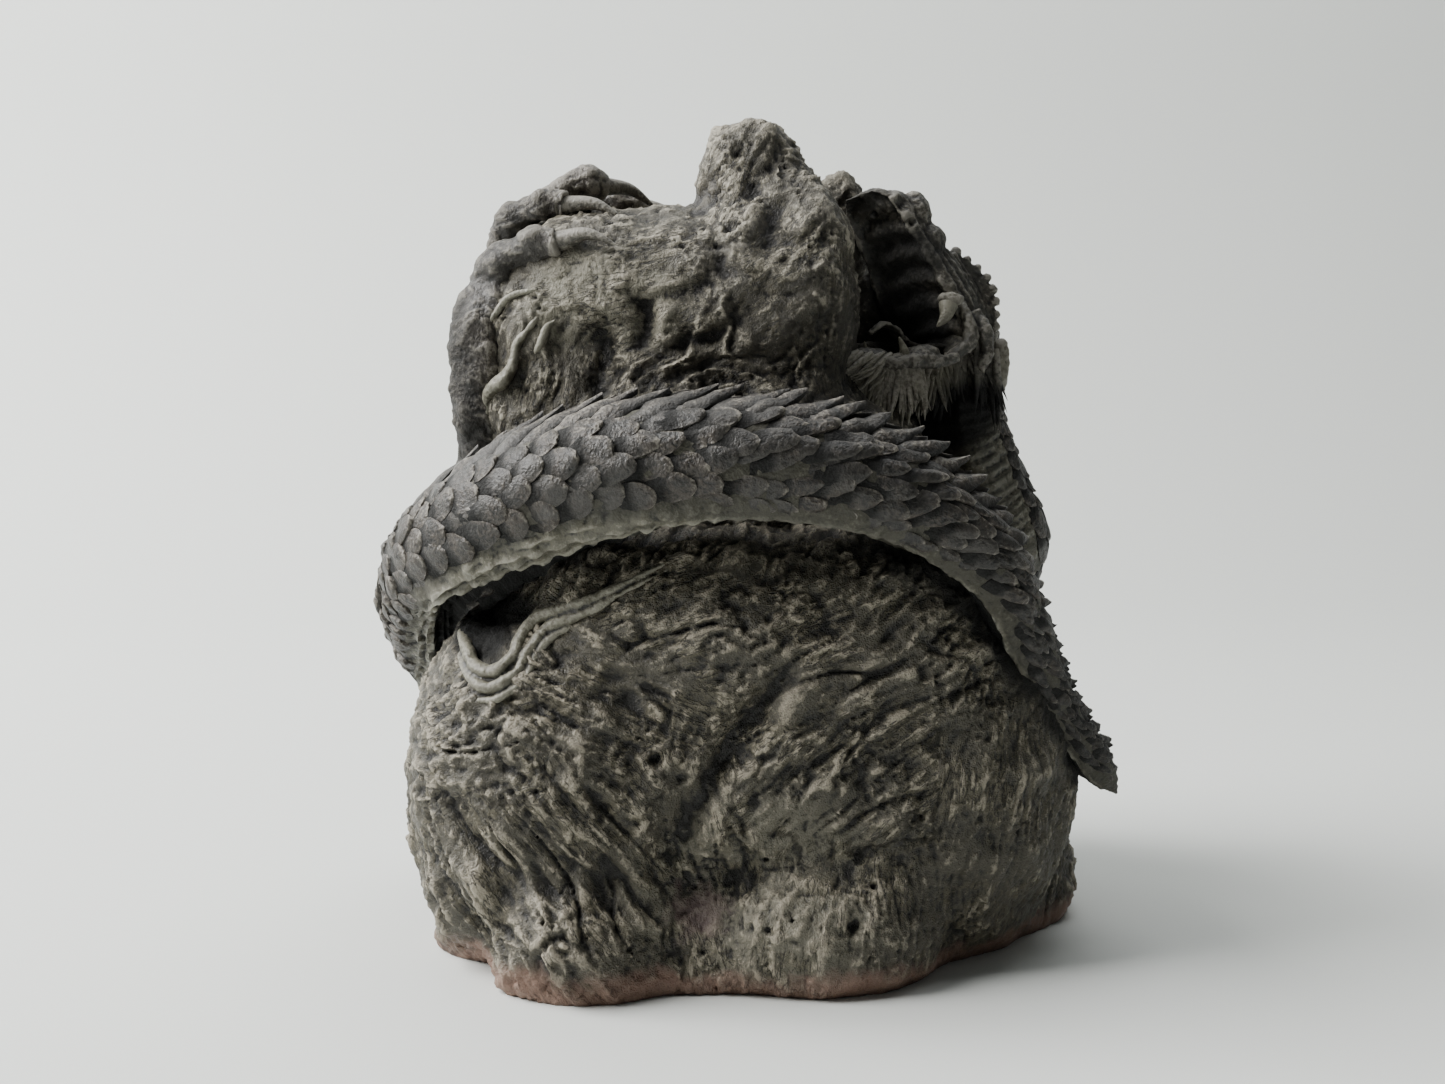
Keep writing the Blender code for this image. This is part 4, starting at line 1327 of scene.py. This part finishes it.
@dataclass
class Leg:
    """A leg: the arm, its knuckled fingers, and a claw at the end of each."""

    name: str
    arm: tuple[Triple, ...]
    fingers: tuple[tuple[Triple, ...], ...]
    arm_radius: float = 12.5
    finger_radius: float = 5.8
    claw_length: float = 21.0
    grain: float = 0.75
    kept: float = 0.5

    def finger(self, route: Points) -> bpy.types.Object:
        """One finger as a tube that swells at its joints.

        Args:
            route: Its joints, from the hand on.

        Returns:
            The closed finger.
        """
        line = smooth_line(route, 12)
        part = np.linspace(0, 1, len(line))
        knuckles = ridge(part, 0.36, 0.10) + 0.8 * ridge(part, 0.74, 0.09)
        radii = self.finger_radius * (0.98 - 0.16 * part + 0.26 * knuckles)
        return Workbench.tube("finger", line, radii, 20)

    def claw(self, route: Points) -> bpy.types.Object:
        """The claw that ends a finger: a curved cone that bends down to its point.

        Args:
            route: The finger's joints.

        Returns:
            The closed claw.
        """
        heading = unit_vector(route[-1] - route[-2])
        base = route[-1] - heading * 2.5
        middle = route[-1] + (heading + (0, 0, 0.02)) * self.claw_length * 0.5
        tip = route[-1] + (heading + (0, 0, -0.26)) * self.claw_length
        line = smooth_line([base, route[-1], middle, tip], 6)
        part = np.linspace(0, 1, len(line))
        radii = self.finger_radius * (0.78 * (1 - part) ** 0.8 + 0.03)
        return Workbench.tube("claw", line, radii, 14)

    def build(self) -> list[bpy.types.Object]:
        """Makes the leg as one wrinkled skin, and its claws.

        Returns:
            The pieces.
        """
        arm = smooth_line(self.arm, 10)
        part = np.linspace(0, 1, len(arm))
        muscle = 1.0 - 0.2 * part + 0.1 * np.sin(part * math.pi * 2.4 + 0.6)
        pieces = [Workbench.tube("arm", arm, self.arm_radius * muscle, 28)]
        routes = [np.array(route, float) for route in self.fingers]
        pieces += [self.finger(route) for route in routes]
        limb = Workbench.fuse(self.name, pieces, self.grain, 3)
        points = Workbench.read(limb)
        warp = Grain(31).at(points / 9)[:, None] * 3
        folds = np.abs(Grain(32).at((points + warp) / (7, 7, 3.2)))
        swell = 1.3 * Grain(33).at(points / 9) + 0.9 * folds - 0.35 + 0.2 * Grain(34).at(points / 2)
        Workbench.move(limb, points + Workbench.normals(limb) * swell[:, None])
        Workbench.finish(limb, Finish.HIDE, 8, kept=self.kept)
        claws = Workbench.gather(self.name + "_claws", [self.claw(route) for route in routes])
        Workbench.finish(claws, Finish.SMOOTH, 3)
        return [limb, claws]


@dataclass(frozen=True)
class Jaw:
    """One jaw: its hinge, its axes and its sections.

    The axes run along the jaw, to the side that faces the front, and into the mouth. Each section is its
    distance along, half width, height of the outer side and depth of the mouth's side.
    """

    hinge: Triple
    axes: tuple[Triple, Triple, Triple]
    sections: tuple[tuple[float, float, float, float], ...]
    lip: float = 0.3

    def at(self, along: Points, aside: Points, inward: Points) -> Points:
        """Places in the head, in units, from distances along the jaw's axes."""
        values = np.stack(np.broadcast_arrays(along, aside, inward), axis=-1).astype(float)
        return np.array(self.hinge, float) + values @ np.array(self.axes)

    def section(self, along: Points) -> list[Points]:
        """The half width, height and depth of the jaw at distances along it."""
        line = smooth_line(self.sections, 8)
        return [np.interp(along, line[:, 0], line[:, column]) for column in (1, 2, 3)]

    def outside(self, along: Points, turn: Points, lift: Points) -> Points:
        """Places over the outer side.

        Args:
            along: Distances along the jaw.
            turn: Turns from the near lip to the far one, 0 to 180 degrees.
            lift: Distances off the surface.

        Returns:
            The places, in units.
        """
        half, height, depth = self.section(along)
        turn = np.radians(turn)
        inward = depth * self.lip - (height + lift) * np.sin(turn)
        return self.at(along, (half + lift) * np.cos(turn), inward)

    def skin(self, folds: Sequence[float], ribs: float) -> bpy.types.Object:
        """The jaw as one closed form, with folds along its lips and ribs across the mouth's side.

        Args:
            folds: The folds' turns from each lip, in degrees.
            ribs: The ribs' height.

        Returns:
            The closed form.
        """
        along = np.linspace(self.sections[0][0], self.sections[-1][0], 110)[:, None]
        turn = np.linspace(0, 180, 90)[None, :]
        near = np.minimum(turn, 180 - turn)
        wave = 3 * np.sin(along / 6.5)
        lift = sum(1.3 * ridge(near, fold + wave * fold / 30, 3.6) for fold in folds) - 0.8
        reach = ease(along, 0, 10) * (1 - ease(along, 44, 52)) * (1 - ease(near, 46, 56))
        outer = self.outside(along, turn, lift * reach)
        share = np.linspace(-0.93, 0.93, 40)[None, :]
        half, _, depth = self.section(along)
        roof = depth * (self.lip + (1 - self.lip) * (1 - np.abs(share))) - 2.5 * (1 - share**2)
        rib = ribs * np.sin((along + 4 * share**2) * math.pi / 4.8) * (1 - share**4)
        gum = 1.6 * ridge(np.abs(share), 0.86, 0.08)
        inner = self.at(along, half * share, roof + rib + gum + 0.4)
        return Workbench.skin("jaw", np.concatenate([outer, inner], axis=1))


CROWN = Jaw(
    (71.5, 4, 196),
    ((-0.45, -0.08, 0.89), (0.68, -0.70, 0.20), (-0.64, -0.70, -0.31)),
    (
        (-14, 12, 14, 6), (-4, 15, 18, 6), (8, 17, 21, 5), (20, 17.5, 24, 4), (32, 16, 22, 2),
        (42, 14.5, 18, 1), (50, 13.5, 16, 1), (58, 13, 14, 2), (62.5, 11, 10, 4), (66, 7, 5, 7),
    ),
)
LOWER_JAW = Jaw(
    (73, 4, 199.5),
    ((-0.88, -0.47, 0.0), (0.45, -0.85, -0.27), (0.13, -0.24, 0.96)),
    ((-8, 12, 10, 7), (6, 13, 11, 2), (18, 13, 11, -2), (32, 12.5, 10, -3), (44, 11, 8, -2), (52, 7, 5, 1)),
)


@dataclass
class DragonHead:
    """The head: two jaws wide open, with fangs, tongue, frilled brows, ears, beard, mane and horns."""

    lip_folds: tuple[float, ...] = (5, 17, 29, 41)
    lumps: tuple[tuple[Triple, Triple], ...] = (
        ((59, 1, 247), (6, 7, 8.5)), ((52, 7, 245.5), (6, 7, 8.5)), ((64.5, 0, 237), (6, 7, 7)),
        ((56, 9, 234.5), (6, 7, 7)), ((77, 11, 224), (4.5, 4.5, 4.5)), ((69, 19, 222), (4.5, 4.5, 4.5)),
        ((90, -1, 195), (3.0, 3, 9.5)), ((56, 18, 212), (18, 5, 21)),
        ((70.5, -12.8, 217.6), (4.6, 2.8, 2.6)), ((41, -20, 197.5), (9, 5, 3.6)),
        ((60, -18, 198.5), (6.5, 4.5, 3.6)), ((51, -7.5, 189.5), (22, 9, 8)),
    )
    pits: tuple[Triple, ...] = ((53.6, 249.6, 2.2), (57.0, 244.0, 1.2), (45, 247, 1.0))
    brow: tuple[tuple[float, float], ...] = ((35, 1.2), (27, 4.6), (18, 6.2), (9, 5.0), (2, 1.8))
    folds: tuple[tuple[Triple, ...], ...] = (
        ((75, -9, 215), (77.5, -12, 208), (76.5, -14, 202), (70, -15.5, 197.5)),
        ((80, -8, 214), (83, -10, 206), (83.5, -11, 199), (81, -12, 193)),
        (
            (73, -17, 198), (66, -20, 196), (60, -22, 196.5), (52, -23.5, 195.5), (42, -23, 196),
            (33, -21, 196),
        ),
    )
    fold_radius: float = 2.7
    horn_radius: float = 4.6
    brow_beads: int = 9
    grain: float = 0.55
    kept: float = 0.8
    teeth: tuple[tuple[Triple, Triple, Triple, float], ...] = (
        ((69.8, -12.6, 215.5), (68.6, -14.8, 211.5), (65.6, -16.2, 208.0), 3.3),
        ((54.5, -20.5, 195.5), (53.8, -21, 200), (52.2, -21, 204.5), 2.5),
        ((42, -20.5, 195), (41.2, -21, 199), (40.3, -21, 203), 1.7),
    )
    tongue: tuple[Triple, ...] = (
        (2, 0, 2), (12, 0, 1.5), (20, 0, 3), (26, -0.5, 8), (30.5, -1, 9.5), (35, -1, 6),
    )
    horns: tuple[tuple[Triple, ...], ...] = (
        ((76, 8, 214), (86, 20, 217), (91, 31, 206), (94, 42, 188), (96, 52, 172)),
        ((66, 10, 220), (74, 26, 222), (80, 40, 212), (83, 52, 196), (86, 62, 180)),
    )

    def frill(self, mirrored: bool) -> list[bpy.types.Object]:
        """The leaf over a brow, with a raised line along its foot and a row of beads along its edge.

        Args:
            mirrored: Whether it is the far one.

        Returns:
            The leaf and its beads.
        """
        line = smooth_line(self.brow, 10)
        along, out = line[:, 0][:, None], line[:, 1][:, None]
        turns = np.array((42, 43.6, 45, 46.6, 49, 51.5, 53.5, 56))[None, :]
        shares = np.array((0, 0, 0, 0.15, 0.55, 1.0, 1.0, 0))[None, :]
        extra = np.array((-1, 1.2, 1.3, 0.3, 0.2, 0, 0, -1))[None, :]
        turns = 180 - turns if mirrored else turns
        made = [Workbench.skin("frill", CROWN.outside(along, turns, shares * out + extra))]
        for share in np.linspace(0.02, 1, self.brow_beads) * (len(line) - 1):
            at, stand = (np.interp(share, range(len(line)), line[:, column]) for column in (0, 1))
            centre = CROWN.outside(at, 127.5 if mirrored else 52.5, stand + 0.2)
            made.append(Workbench.ball("bead", centre, (1.8, 1.8, 1.8), 2))
        return made

    def eyelid(self, centre: Triple) -> bpy.types.Object:
        """A ring of clay round an eye, facing away from the mouth.

        Args:
            centre: The eye's middle.

        Returns:
            The ring.
        """
        axes = np.array(CROWN.axes)
        turns = np.linspace(0, 2 * math.pi, 25)[:, None]
        ring = 4.3 * (np.cos(turns) * axes[0] * 1.25 + np.sin(turns) * axes[1]) - axes[2] * 1.8
        return Workbench.tube("eyelid", np.array(centre, float) + ring, np.full(25, 1.1), 8)

    def fangs(self) -> bpy.types.Object:
        """All the fangs, each a curved cone.

        Returns:
            The fangs as one piece.
        """
        made = []
        for root, middle, tip, radius in self.teeth:
            route = smooth_line([root, middle, tip], 6)
            steps = np.linspace(0, 1, len(route))
            made.append(Workbench.tube("fang", route, radius * (1.03 - steps) ** 0.7, 16))
        return Workbench.gather("fangs", made)

    def strands(self) -> bpy.types.Object:
        """The beard under the lower jaw in four rows, the cheek's hair and the mane, lock by lock.

        Returns:
            All the locks as one piece.
        """
        chance = np.random.default_rng(3)
        made = []
        rows = ((1.0, 1.5, 44, 8.0), (1.0, -0.8, 64, 15.0), (0.92, -5.0, 56, 14.0), (0.7, -9.5, 40, 13.5))
        for row, (aside, inward, count, length) in enumerate(rows):
            for share in np.linspace(0, 1, count):
                share = share + chance.uniform(-0.015, 0.015)
                half = float(LOWER_JAW.section(50 - 50 * share)[0])
                root = LOWER_JAW.at(50 - 50 * share, half * aside + 0.6, inward + chance.uniform(-0.8, 0.8))
                angle = -72 + 98 * share + 9 * math.sin(share * 19 + row) + chance.uniform(-7, 7)
                angle = math.radians(angle)
                way = (math.sin(angle), -0.48 + 0.14 * row, -math.cos(angle))
                swell = 0.17 * math.sin(share * 11 + row)
                long = length * (1 - 0.2 * share + swell + chance.uniform(-0.2, 0.2))
                made.append(self.lock(root, way, long, 0.9 + 0.25 * math.sin(share * 23 + row), chance))
        for share in np.linspace(0, 1, 34):
            root = np.array((40 + 20 * share, -23 - 2 * math.sin(share * 3), 193 - 3 * chance.uniform(0, 1)))
            way = (0.55 * share - 0.35 + chance.uniform(-0.12, 0.12), -0.25, -1)
            made.append(self.lock(root, way, chance.uniform(10, 18), 0.9, chance))
        for _ in range(34):
            share = chance.uniform(0, 1)
            root = np.array((80 + 6 * share, -11 + 7 * share, 203 - 7 * chance.uniform(0, 1)))
            way = (0.02 + 0.10 * share, -0.05, -0.95)
            made.append(self.lock(root, way, chance.uniform(15, 24), 0.8, chance))
        for share in np.linspace(0, 1, 30):
            root = np.array((86 - 3 * share, -8 + 26 * share, 198 - 4 * share)) + chance.uniform(-1.5, 1.5, 3)
            way = np.array((0.03, 0.12 + 0.3 * share, -0.95)) + chance.uniform(-0.1, 0.1, 3)
            made.append(self.lock(root, way, 26 + chance.uniform(-6, 4), 1.1, chance))
        return Workbench.gather("beard_and_mane", made)

    def lock(
        self, root: Points, way: Sequence[float], long: float, radius: float, chance: np.random.Generator
    ) -> bpy.types.Object:
        """One lock of hair: a slim tapering leaf that bends a little.

        Args:
            root: Where it grows.
            way: Where it points.
            long: Its length.
            radius: Its thickness.
            chance: Where its bend is drawn from.

        Returns:
            The closed lock.
        """
        way = unit_vector(way)
        bend = chance.uniform(-0.16, 0.16, 3)
        steps = np.linspace(0, 1, 8)[:, None]
        route = root - way * 2 + way * steps * (long + 2) + bend * long * steps**2
        radii = 1.3 * radius * np.array([0.7, 1.0, 1.1, 1.1, 0.95, 0.75, 0.45, 0.08])
        return Workbench.tube("lock", route, radii, 7, 0.75)

    def build(self) -> list[bpy.types.Object]:
        """Makes and dresses the head's pieces.

        Returns:
            The pieces.
        """
        forms = [CROWN.skin(self.lip_folds, 0.9), LOWER_JAW.skin((), 0.0)]
        forms += [Workbench.ball("lump", centre, sizes, 4) for centre, sizes in self.lumps]
        forms += [self.eyelid(centre) for centre, _ in self.lumps[4:6]]
        forms += self.frill(False) + self.frill(True)
        for route in self.folds:
            line = smooth_line(route, 8)
            swell = 0.55 + 0.45 * np.sin(np.linspace(0.2, math.pi - 0.2, len(line)))
            forms.append(Workbench.tube("fold", line, self.fold_radius * swell, 16))
        for route in self.horns:
            line = smooth_line(route, 10)
            rings = 1 + 0.06 * np.sin(np.linspace(0, 80, len(line)))
            radii = self.horn_radius * np.linspace(1, 0.12, len(line)) * rings
            forms.append(Workbench.tube("horn", line, radii, 18))
        tongue = smooth_line([LOWER_JAW.at(*place) for place in self.tongue], 8)
        forms.append(Workbench.tube("tongue", tongue, 5 * np.linspace(1, 0.5, len(tongue)), 20, 0.3))
        head = Workbench.fuse("head", forms, self.grain, 1)
        points, outward = Workbench.read(head), Workbench.normals(head)
        swell = 0.5 * Grain(41).at(points / 6) + 0.3 * Grain(42).at(points / 2.2)
        swell += 0.15 * Grain(43).at(points)
        front = ease(-outward[:, 1], -0.2, 0.3) * (points[:, 1] < 2)
        for x, z, radius in self.pits:
            gap = np.hypot(points[:, 0] - x, points[:, 2] - z) / radius
            swell += front * (0.4 * ridge(gap, 1.7, 0.6) - 2.4 * ridge(gap, 0, 1))
        Workbench.move(head, points + outward * swell[:, None])
        Workbench.finish(head, Finish.SMOOTH, 8, kept=self.kept)
        fangs = self.fangs()
        Workbench.finish(fangs, Finish.PALE, 2)
        strands = self.strands()
        Workbench.finish(strands, Finish.SMOOTH, 2)
        return [head, fangs, strands]


@dataclass
class Ribbon:
    """Wavy strands of clay lying on the rock. Each place is its x, its z and the strand's half width."""

    name: str
    strands: tuple[tuple[tuple[float, float, float], ...], ...]
    masses: tuple[Rock, ...]
    rise: float = 0.6
    grain: float = 0.45

    def lay(self, route: Sequence[Sequence[float]]) -> bpy.types.Object:
        """Lays one strand along the rock's front face.

        Args:
            route: The strand's places.

        Returns:
            The strand.
        """
        flat = smooth_line(route, 10)
        depth = np.full(len(flat), -200.0)
        found = np.zeros(len(flat))
        for _ in range(240):
            points = np.column_stack([flat[:, 0], depth, flat[:, 1]])
            inside = np.minimum(*(mass.outside(points) for mass in self.masses)) < 0
            found = np.where(inside & (found == 0), depth, found)
            depth = depth + 1
        line = np.column_stack([flat[:, 0], found, flat[:, 1]])
        for _ in range(6):
            line[1:-1, 1] = (line[:-2, 1] + line[1:-1, 1] + line[2:, 1]) / 3
        line[:, 1] -= self.rise * flat[:, 2]
        return Workbench.tube("strand", line, flat[:, 2], 18, 0.85)

    def build(self) -> bpy.types.Object:
        """Makes the ribbon.

        Returns:
            The finished piece.
        """
        strands = [self.lay(route) for route in self.strands]
        made = Workbench.fuse(self.name, strands, self.grain, 3)
        Workbench.roughen(made, ((61, 5.0, 0.3), (62, 1.6, 0.12)))
        Workbench.finish(made, Finish.PALE, 6)
        return made


@dataclass
class Studio:
    """The pale floor and backdrop, the soft lights and the camera."""

    camera_place: Triple = (-0.008, -0.672, 0.200)
    camera_tip: float = 5.77
    lens: float = 1900 * 36 / 1445

    def backdrop(self) -> None:
        """One pale sheet: the floor, swept up behind the figurine."""
        turn = np.radians(np.linspace(0, 90, 13))
        sweep = [(0.75 + 0.5 * math.sin(t), 0.5 - 0.5 * math.cos(t)) for t in turn]
        profile = [(-2.5, 0.0), *sweep, (1.25, 3.0)]
        grid, count = bpy.ops.mesh.primitive_grid_add, len(profile) - 1
        sheet = Workbench.add(grid, "pale_floor", x_subdivisions=1, y_subdivisions=count, size=1)
        rows = [(x, y, z) for y, z in profile for x in (-3.5, 3.5)]
        sheet.data.vertices.foreach_set("co", np.array(rows, float).ravel())
        bpy.ops.object.shade_smooth()
        bench = NodeBench("pale_paint")
        bench.feed(bench.shader.inputs["Base Color"], (0.66, 0.68, 0.66, 1))
        bench.feed(bench.shader.inputs["Roughness"], 0.75)
        sheet.data.materials.append(bench.material)

    def lamp(
        self, name: str, place: Triple, target: Triple, size: float, power: float, colour: Colour
    ) -> None:
        """A square soft light aimed at a target, in metres.

        Args:
            name: Its name.
            place: Where it stands.
            target: What it is aimed at.
            size: Its side.
            power: Its watts.
            colour: Its colour.
        """
        lamp = Workbench.add(bpy.ops.object.light_add, name, type="AREA", location=place)
        lamp.data.size = size
        lamp.data.energy = power
        lamp.data.color = colour
        lamp.rotation_euler = (Vector(target) - Vector(place)).to_track_quat("-Z", "Y").to_euler()

    def build(self) -> None:
        """Sets up the whole studio."""
        self.backdrop()
        middle, behind = (0, 0, 0.12), (-0.8, 1.25, 0.5)
        self.lamp("window", (-1.5, -0.1, 1.4), middle, 1.5, 120, (1.0, 0.99, 0.97))
        self.lamp("overhead", (0.2, 0.3, 1.6), (0.4, -0.1, 0), 1.2, 13, (0.97, 0.99, 1.0))
        self.lamp("backdrop_wash", (-1.5, 0.3, 0.9), behind, 0.6, 9, (0.97, 1.0, 0.99))
        world = bpy.data.worlds.new("soft_room")
        world.use_nodes = True
        world.node_tree.nodes["Background"].inputs["Color"].default_value = (0.80, 0.83, 0.82, 1)
        world.node_tree.nodes["Background"].inputs["Strength"].default_value = 0.11
        bpy.context.scene.world = world
        data = bpy.data.cameras.new("camera")
        data.lens = self.lens
        data.sensor_width = 36
        data.clip_start = 0.01
        camera = bpy.data.objects.new("camera", data)
        camera.location = self.camera_place
        camera.rotation_euler = (math.radians(90 - self.camera_tip), 0, 0)
        bpy.context.scene.collection.objects.link(camera)
        bpy.context.scene.camera = camera


BASE = Rock(
    "rock_base",
    (
        ((11, 4, 24), (100, 82, 124), 2.05), ((47, -27, 60), (65, 63, 74), 2.2),
        ((-59, -42, 58), (53, 60, 64), 2.4), ((1, -46, 84), (80, 50, 61), 3.0),
        ((-52, -66, 12), (31, 46, 30), 2.3), ((22, -57, 14), (44, 48, 34), 2.15),
        ((-85, -42, 8), (20, 24, 26), 2.2), ((90, 2, 12), (27, 34, 42), 2.2),
        ((-17, -56, 6), (36, 42, 32), 2.3),
    ),
    (0, -12, 50),
    0.95,
    (
        (45, 104, 38, 22, 27, 40, 8, 1.6, 0.9), (24, 70, 34, 20, 38, 30, 7, 1.6, 1.0),
        (88, 52, 26, 42, 82, 34, 4.5, 0.7, 0.2), (38, 20, 45, 20, 86, 30, 5, 0.7, 0.3),
        (-62, 34, 38, 30, -52, 50, 9, 1.9, 0.8), (-92, 82, 22, 22, 15, 14, 10, 1.9, 0.8),
        (-48, 98, 30, 18, -24, 24, 8, 1.5, 1.0), (-12, 42, 15, 30, 105, 28, 7, 1.4, 0.8),
        (-25, 112, 26, 14, 20, 22, 8, 1.6, 1.1),
    ),
    (
        (
            (18, 105, 2.0, 4), (4, 91, 4.0, 5), (-6, 76, 5.0, 5), (-13, 63, 5.0, 5), (-20, 52, 4.0, 5),
            (-23, 40, 1.5, 4),
        ),
        ((-97, 59, 2.0, 4), (-85, 46, 3.0, 4), (-74, 33, 3.0, 4), (-67, 19, 2.5, 4), (-63, 7, 1.5, 3)),
        ((-38, 66, 1.0, 4), (-42, 50, 2.8, 5), (-46, 34, 2.5, 5), (-46, 22, 1.0, 4)),
    ),
    finish=Finish.FOOT_STONE,
)
CRAG = Rock(
    "rock_crag",
    (
        ((-9, -4, 148), (74, 60, 50), 2.4), ((-30, 0, 196), (56, 45, 53), 2.9),
        ((-60, -4, 192), (36, 36, 49), 2.6), ((11, -8, 204), (27, 37, 55), 2.8),
        ((3, -6, 246), (19, 17, 33), 2.3), ((34, 25, 238), (11, 11, 25.5), 2.5),
        ((-16, 42, 124), (66, 38, 96), 2.2), ((47, 36, 150), (32, 27, 55), 2.2),
    ),
    (-10, -2, 178),
    0.9,
    (
        (-10, 196, 30, 20, 28, 24, 8, 1.9, 1.4), (-30, 172, 26, 18, 66, 22, 6, 2.0, 1.0),
        (-64, 170, 20, 26, 78, 28, 6, 1.5, 0.6), (34, 200, 14, 44, 84, 34, 4.2, 0.8, 0.2),
        (4, 252, 20, 24, 62, 20, 7, 1.7, 0.6), (-38, 226, 34, 14, 8, 18, 7, 0.7, 0.3),
        (12, 228, 16, 16, 32, 24, 8, 1.7, 0.8), (10, 172, 26, 16, 40, 18, 6, 1.8, 1.2),
    ),
    (
        ((-27, 198, 1.5, 3), (-19, 203, 3.2, 3), (-10, 206, 3.2, 3), (-1, 211, 1.2, 3)),
        ((-36, 214, 1.0, 3), (-28, 217, 2.4, 2.6), (-12, 220, 2.0, 2.6)),
        ((-37, 217, 2.0, 3), (-33, 209, 3.5, 3.2), (-35, 200, 1.0, 3)),
        ((-8, 231, 2.5, 4), (-7, 224, 3.8, 4.4)),
        ((14, 252, 1.5, 4), (10, 244, 3.6, 5), (7, 236, 2.0, 4)),
        ((3, 260, 1.0, 2.6), (0, 252, 2.6, 2.8), (-2, 245, 1.5, 2.6)),
        ((12, 273, 1.5, 4), (8, 264, 2.8, 4)),
        ((-50, 212, 1.0, 3), (-46, 198, 2.6, 3.4), (-49, 186, 2.2, 3.4), (-46, 174, 1.0, 3)),
    ),
    wavy=0.45,
)
FRONT_PAW = Leg(
    "front_paw",
    ((-82, 30, 92), (-88, 2, 138), (-89, -22, 172), (-90.5, -25, 200), (-83, -18, 222)),
    (
        ((-92, -16, 214), (-84, -24, 228), (-72, -31, 234), (-62, -35, 236)),
        ((-88, -4, 224), (-80, -8, 243), (-70, -14, 249), (-61, -17, 249)),
        ((-80, 6, 232), (-68, 8, 251), (-58, 10, 259), (-50, 14, 258)),
        ((-70, 18, 228), (-58, 26, 248), (-46, 28, 254), (-38, 28, 252)),
    ),
)
REAR_PAW = Leg(
    "rear_paw",
    ((78, 58, 112), (70, 62, 150), (52, 52, 186), (36, 44, 212)),
    (
        ((40, 44, 204), (30, 44, 224), (18, 36, 236), (8, 30, 240)),
        ((34, 46, 204), (18, 48, 220), (4, 42, 230), (-7, 36, 233)),
        ((30, 46, 200), (12, 50, 208), (-4, 48, 215), (-15, 44, 218)),
    ),
)
HIND_LEG = Leg(
    "hind_leg",
    ((-40, 84, 66), (-62, 88, 50), (-74, 78, 34), (-66, 74, 22)),
    (
        ((-68, 72, 22), (-80, 68, 17), (-89, 58, 12), (-94, 48, 8)),
        ((-64, 76, 20), (-71, 78, 14), (-78, 73, 9), (-84, 66, 7)),
        ((-58, 80, 20), (-57, 87, 14), (-60, 86, 9), (-64, 82, 6)),
    ),
)
OTHER_HIND_LEG = Leg(
    "other_hind_leg",
    ((36, 82, 78), (60, 86, 58), (72, 76, 40), (64, 74, 26)),
    (
        ((66, 72, 26), (80, 68, 20), (90, 58, 14), (96, 48, 10)),
        ((62, 76, 24), (71, 78, 17), (79, 73, 11), (86, 66, 8)),
        ((56, 80, 24), (56, 87, 17), (60, 86, 11), (65, 82, 7)),
    ),
)
UPPER_TUFT = Ribbon(
    "upper_tuft",
    (
        (
            (-69, 211, 0.8), (-72, 207, 1.5), (-76, 202, 1.9), (-77, 198, 1.9), (-78, 194, 2.4),
            (-81, 190, 3.1), (-85, 187, 2.9), (-87, 184, 2.2), (-87, 179, 1.8), (-88, 173, 1.4),
        ),
        (
            (-69, 220, 0.7), (-78, 218, 1.2), (-83, 213, 1.4), (-86, 208, 1.4), (-87, 202, 1.2),
            (-88, 196, 0.6),
        ),
        ((-63, 210, 0.7), (-66, 207, 1.5), (-68, 202, 1.6), (-70, 199, 0.7)),
    ),
    (BASE, CRAG),
)
LOWER_TUFT = Ribbon(
    "lower_tuft",
    (
        (
            (-25, 134, 0.5), (-40, 127, 1.5), (-51, 122, 2.2), (-58, 119.5, 2.5), (-66, 116.5, 2.6),
            (-71, 110.5, 2.5),
            (-73.5, 105, 2.4), (-79, 100.5, 2.5), (-85, 101.5, 2.5), (-88.5, 105.5, 2.3), (-92.5, 111, 2.2),
            (-96, 115, 2.3), (-99, 120, 2.1), (-98, 124, 1.2),
        ),
        (
            (-25, 132, 0.4), (-40, 124.6, 1.1), (-50, 119, 1.8), (-58, 116, 2.2), (-64, 112.5, 2.3),
            (-68.5, 106.5, 2.2), (-71, 101.5, 2.2), (-77.5, 96.8, 2.3), (-83, 96.4, 2.2), (-88, 100, 1.9),
            (-91, 104, 1.3),
        ),
        (
            (-55, 114.5, 0.8), (-62, 110.5, 1.4), (-66.5, 104.5, 1.5), (-69.5, 98.5, 1.5), (-77, 93.2, 1.5),
            (-84, 92, 1.0),
        ),
    ),
    (BASE, CRAG),
)


def main() -> None:
    """Builds the figurine and its studio in order."""
    logging.basicConfig(level=logging.INFO, format="%(relativeCreated)6d %(message)s")
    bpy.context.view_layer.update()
    for mass in (BASE, CRAG):
        mass.build()
    DragonBody(SPINE).build()
    DragonHead().build()
    for leg in (FRONT_PAW, REAR_PAW, HIND_LEG, OTHER_HIND_LEG):
        leg.build()
    for tuft in (UPPER_TUFT, LOWER_TUFT):
        tuft.build()
    Studio().build()


if __name__ == "__main__":
    main()
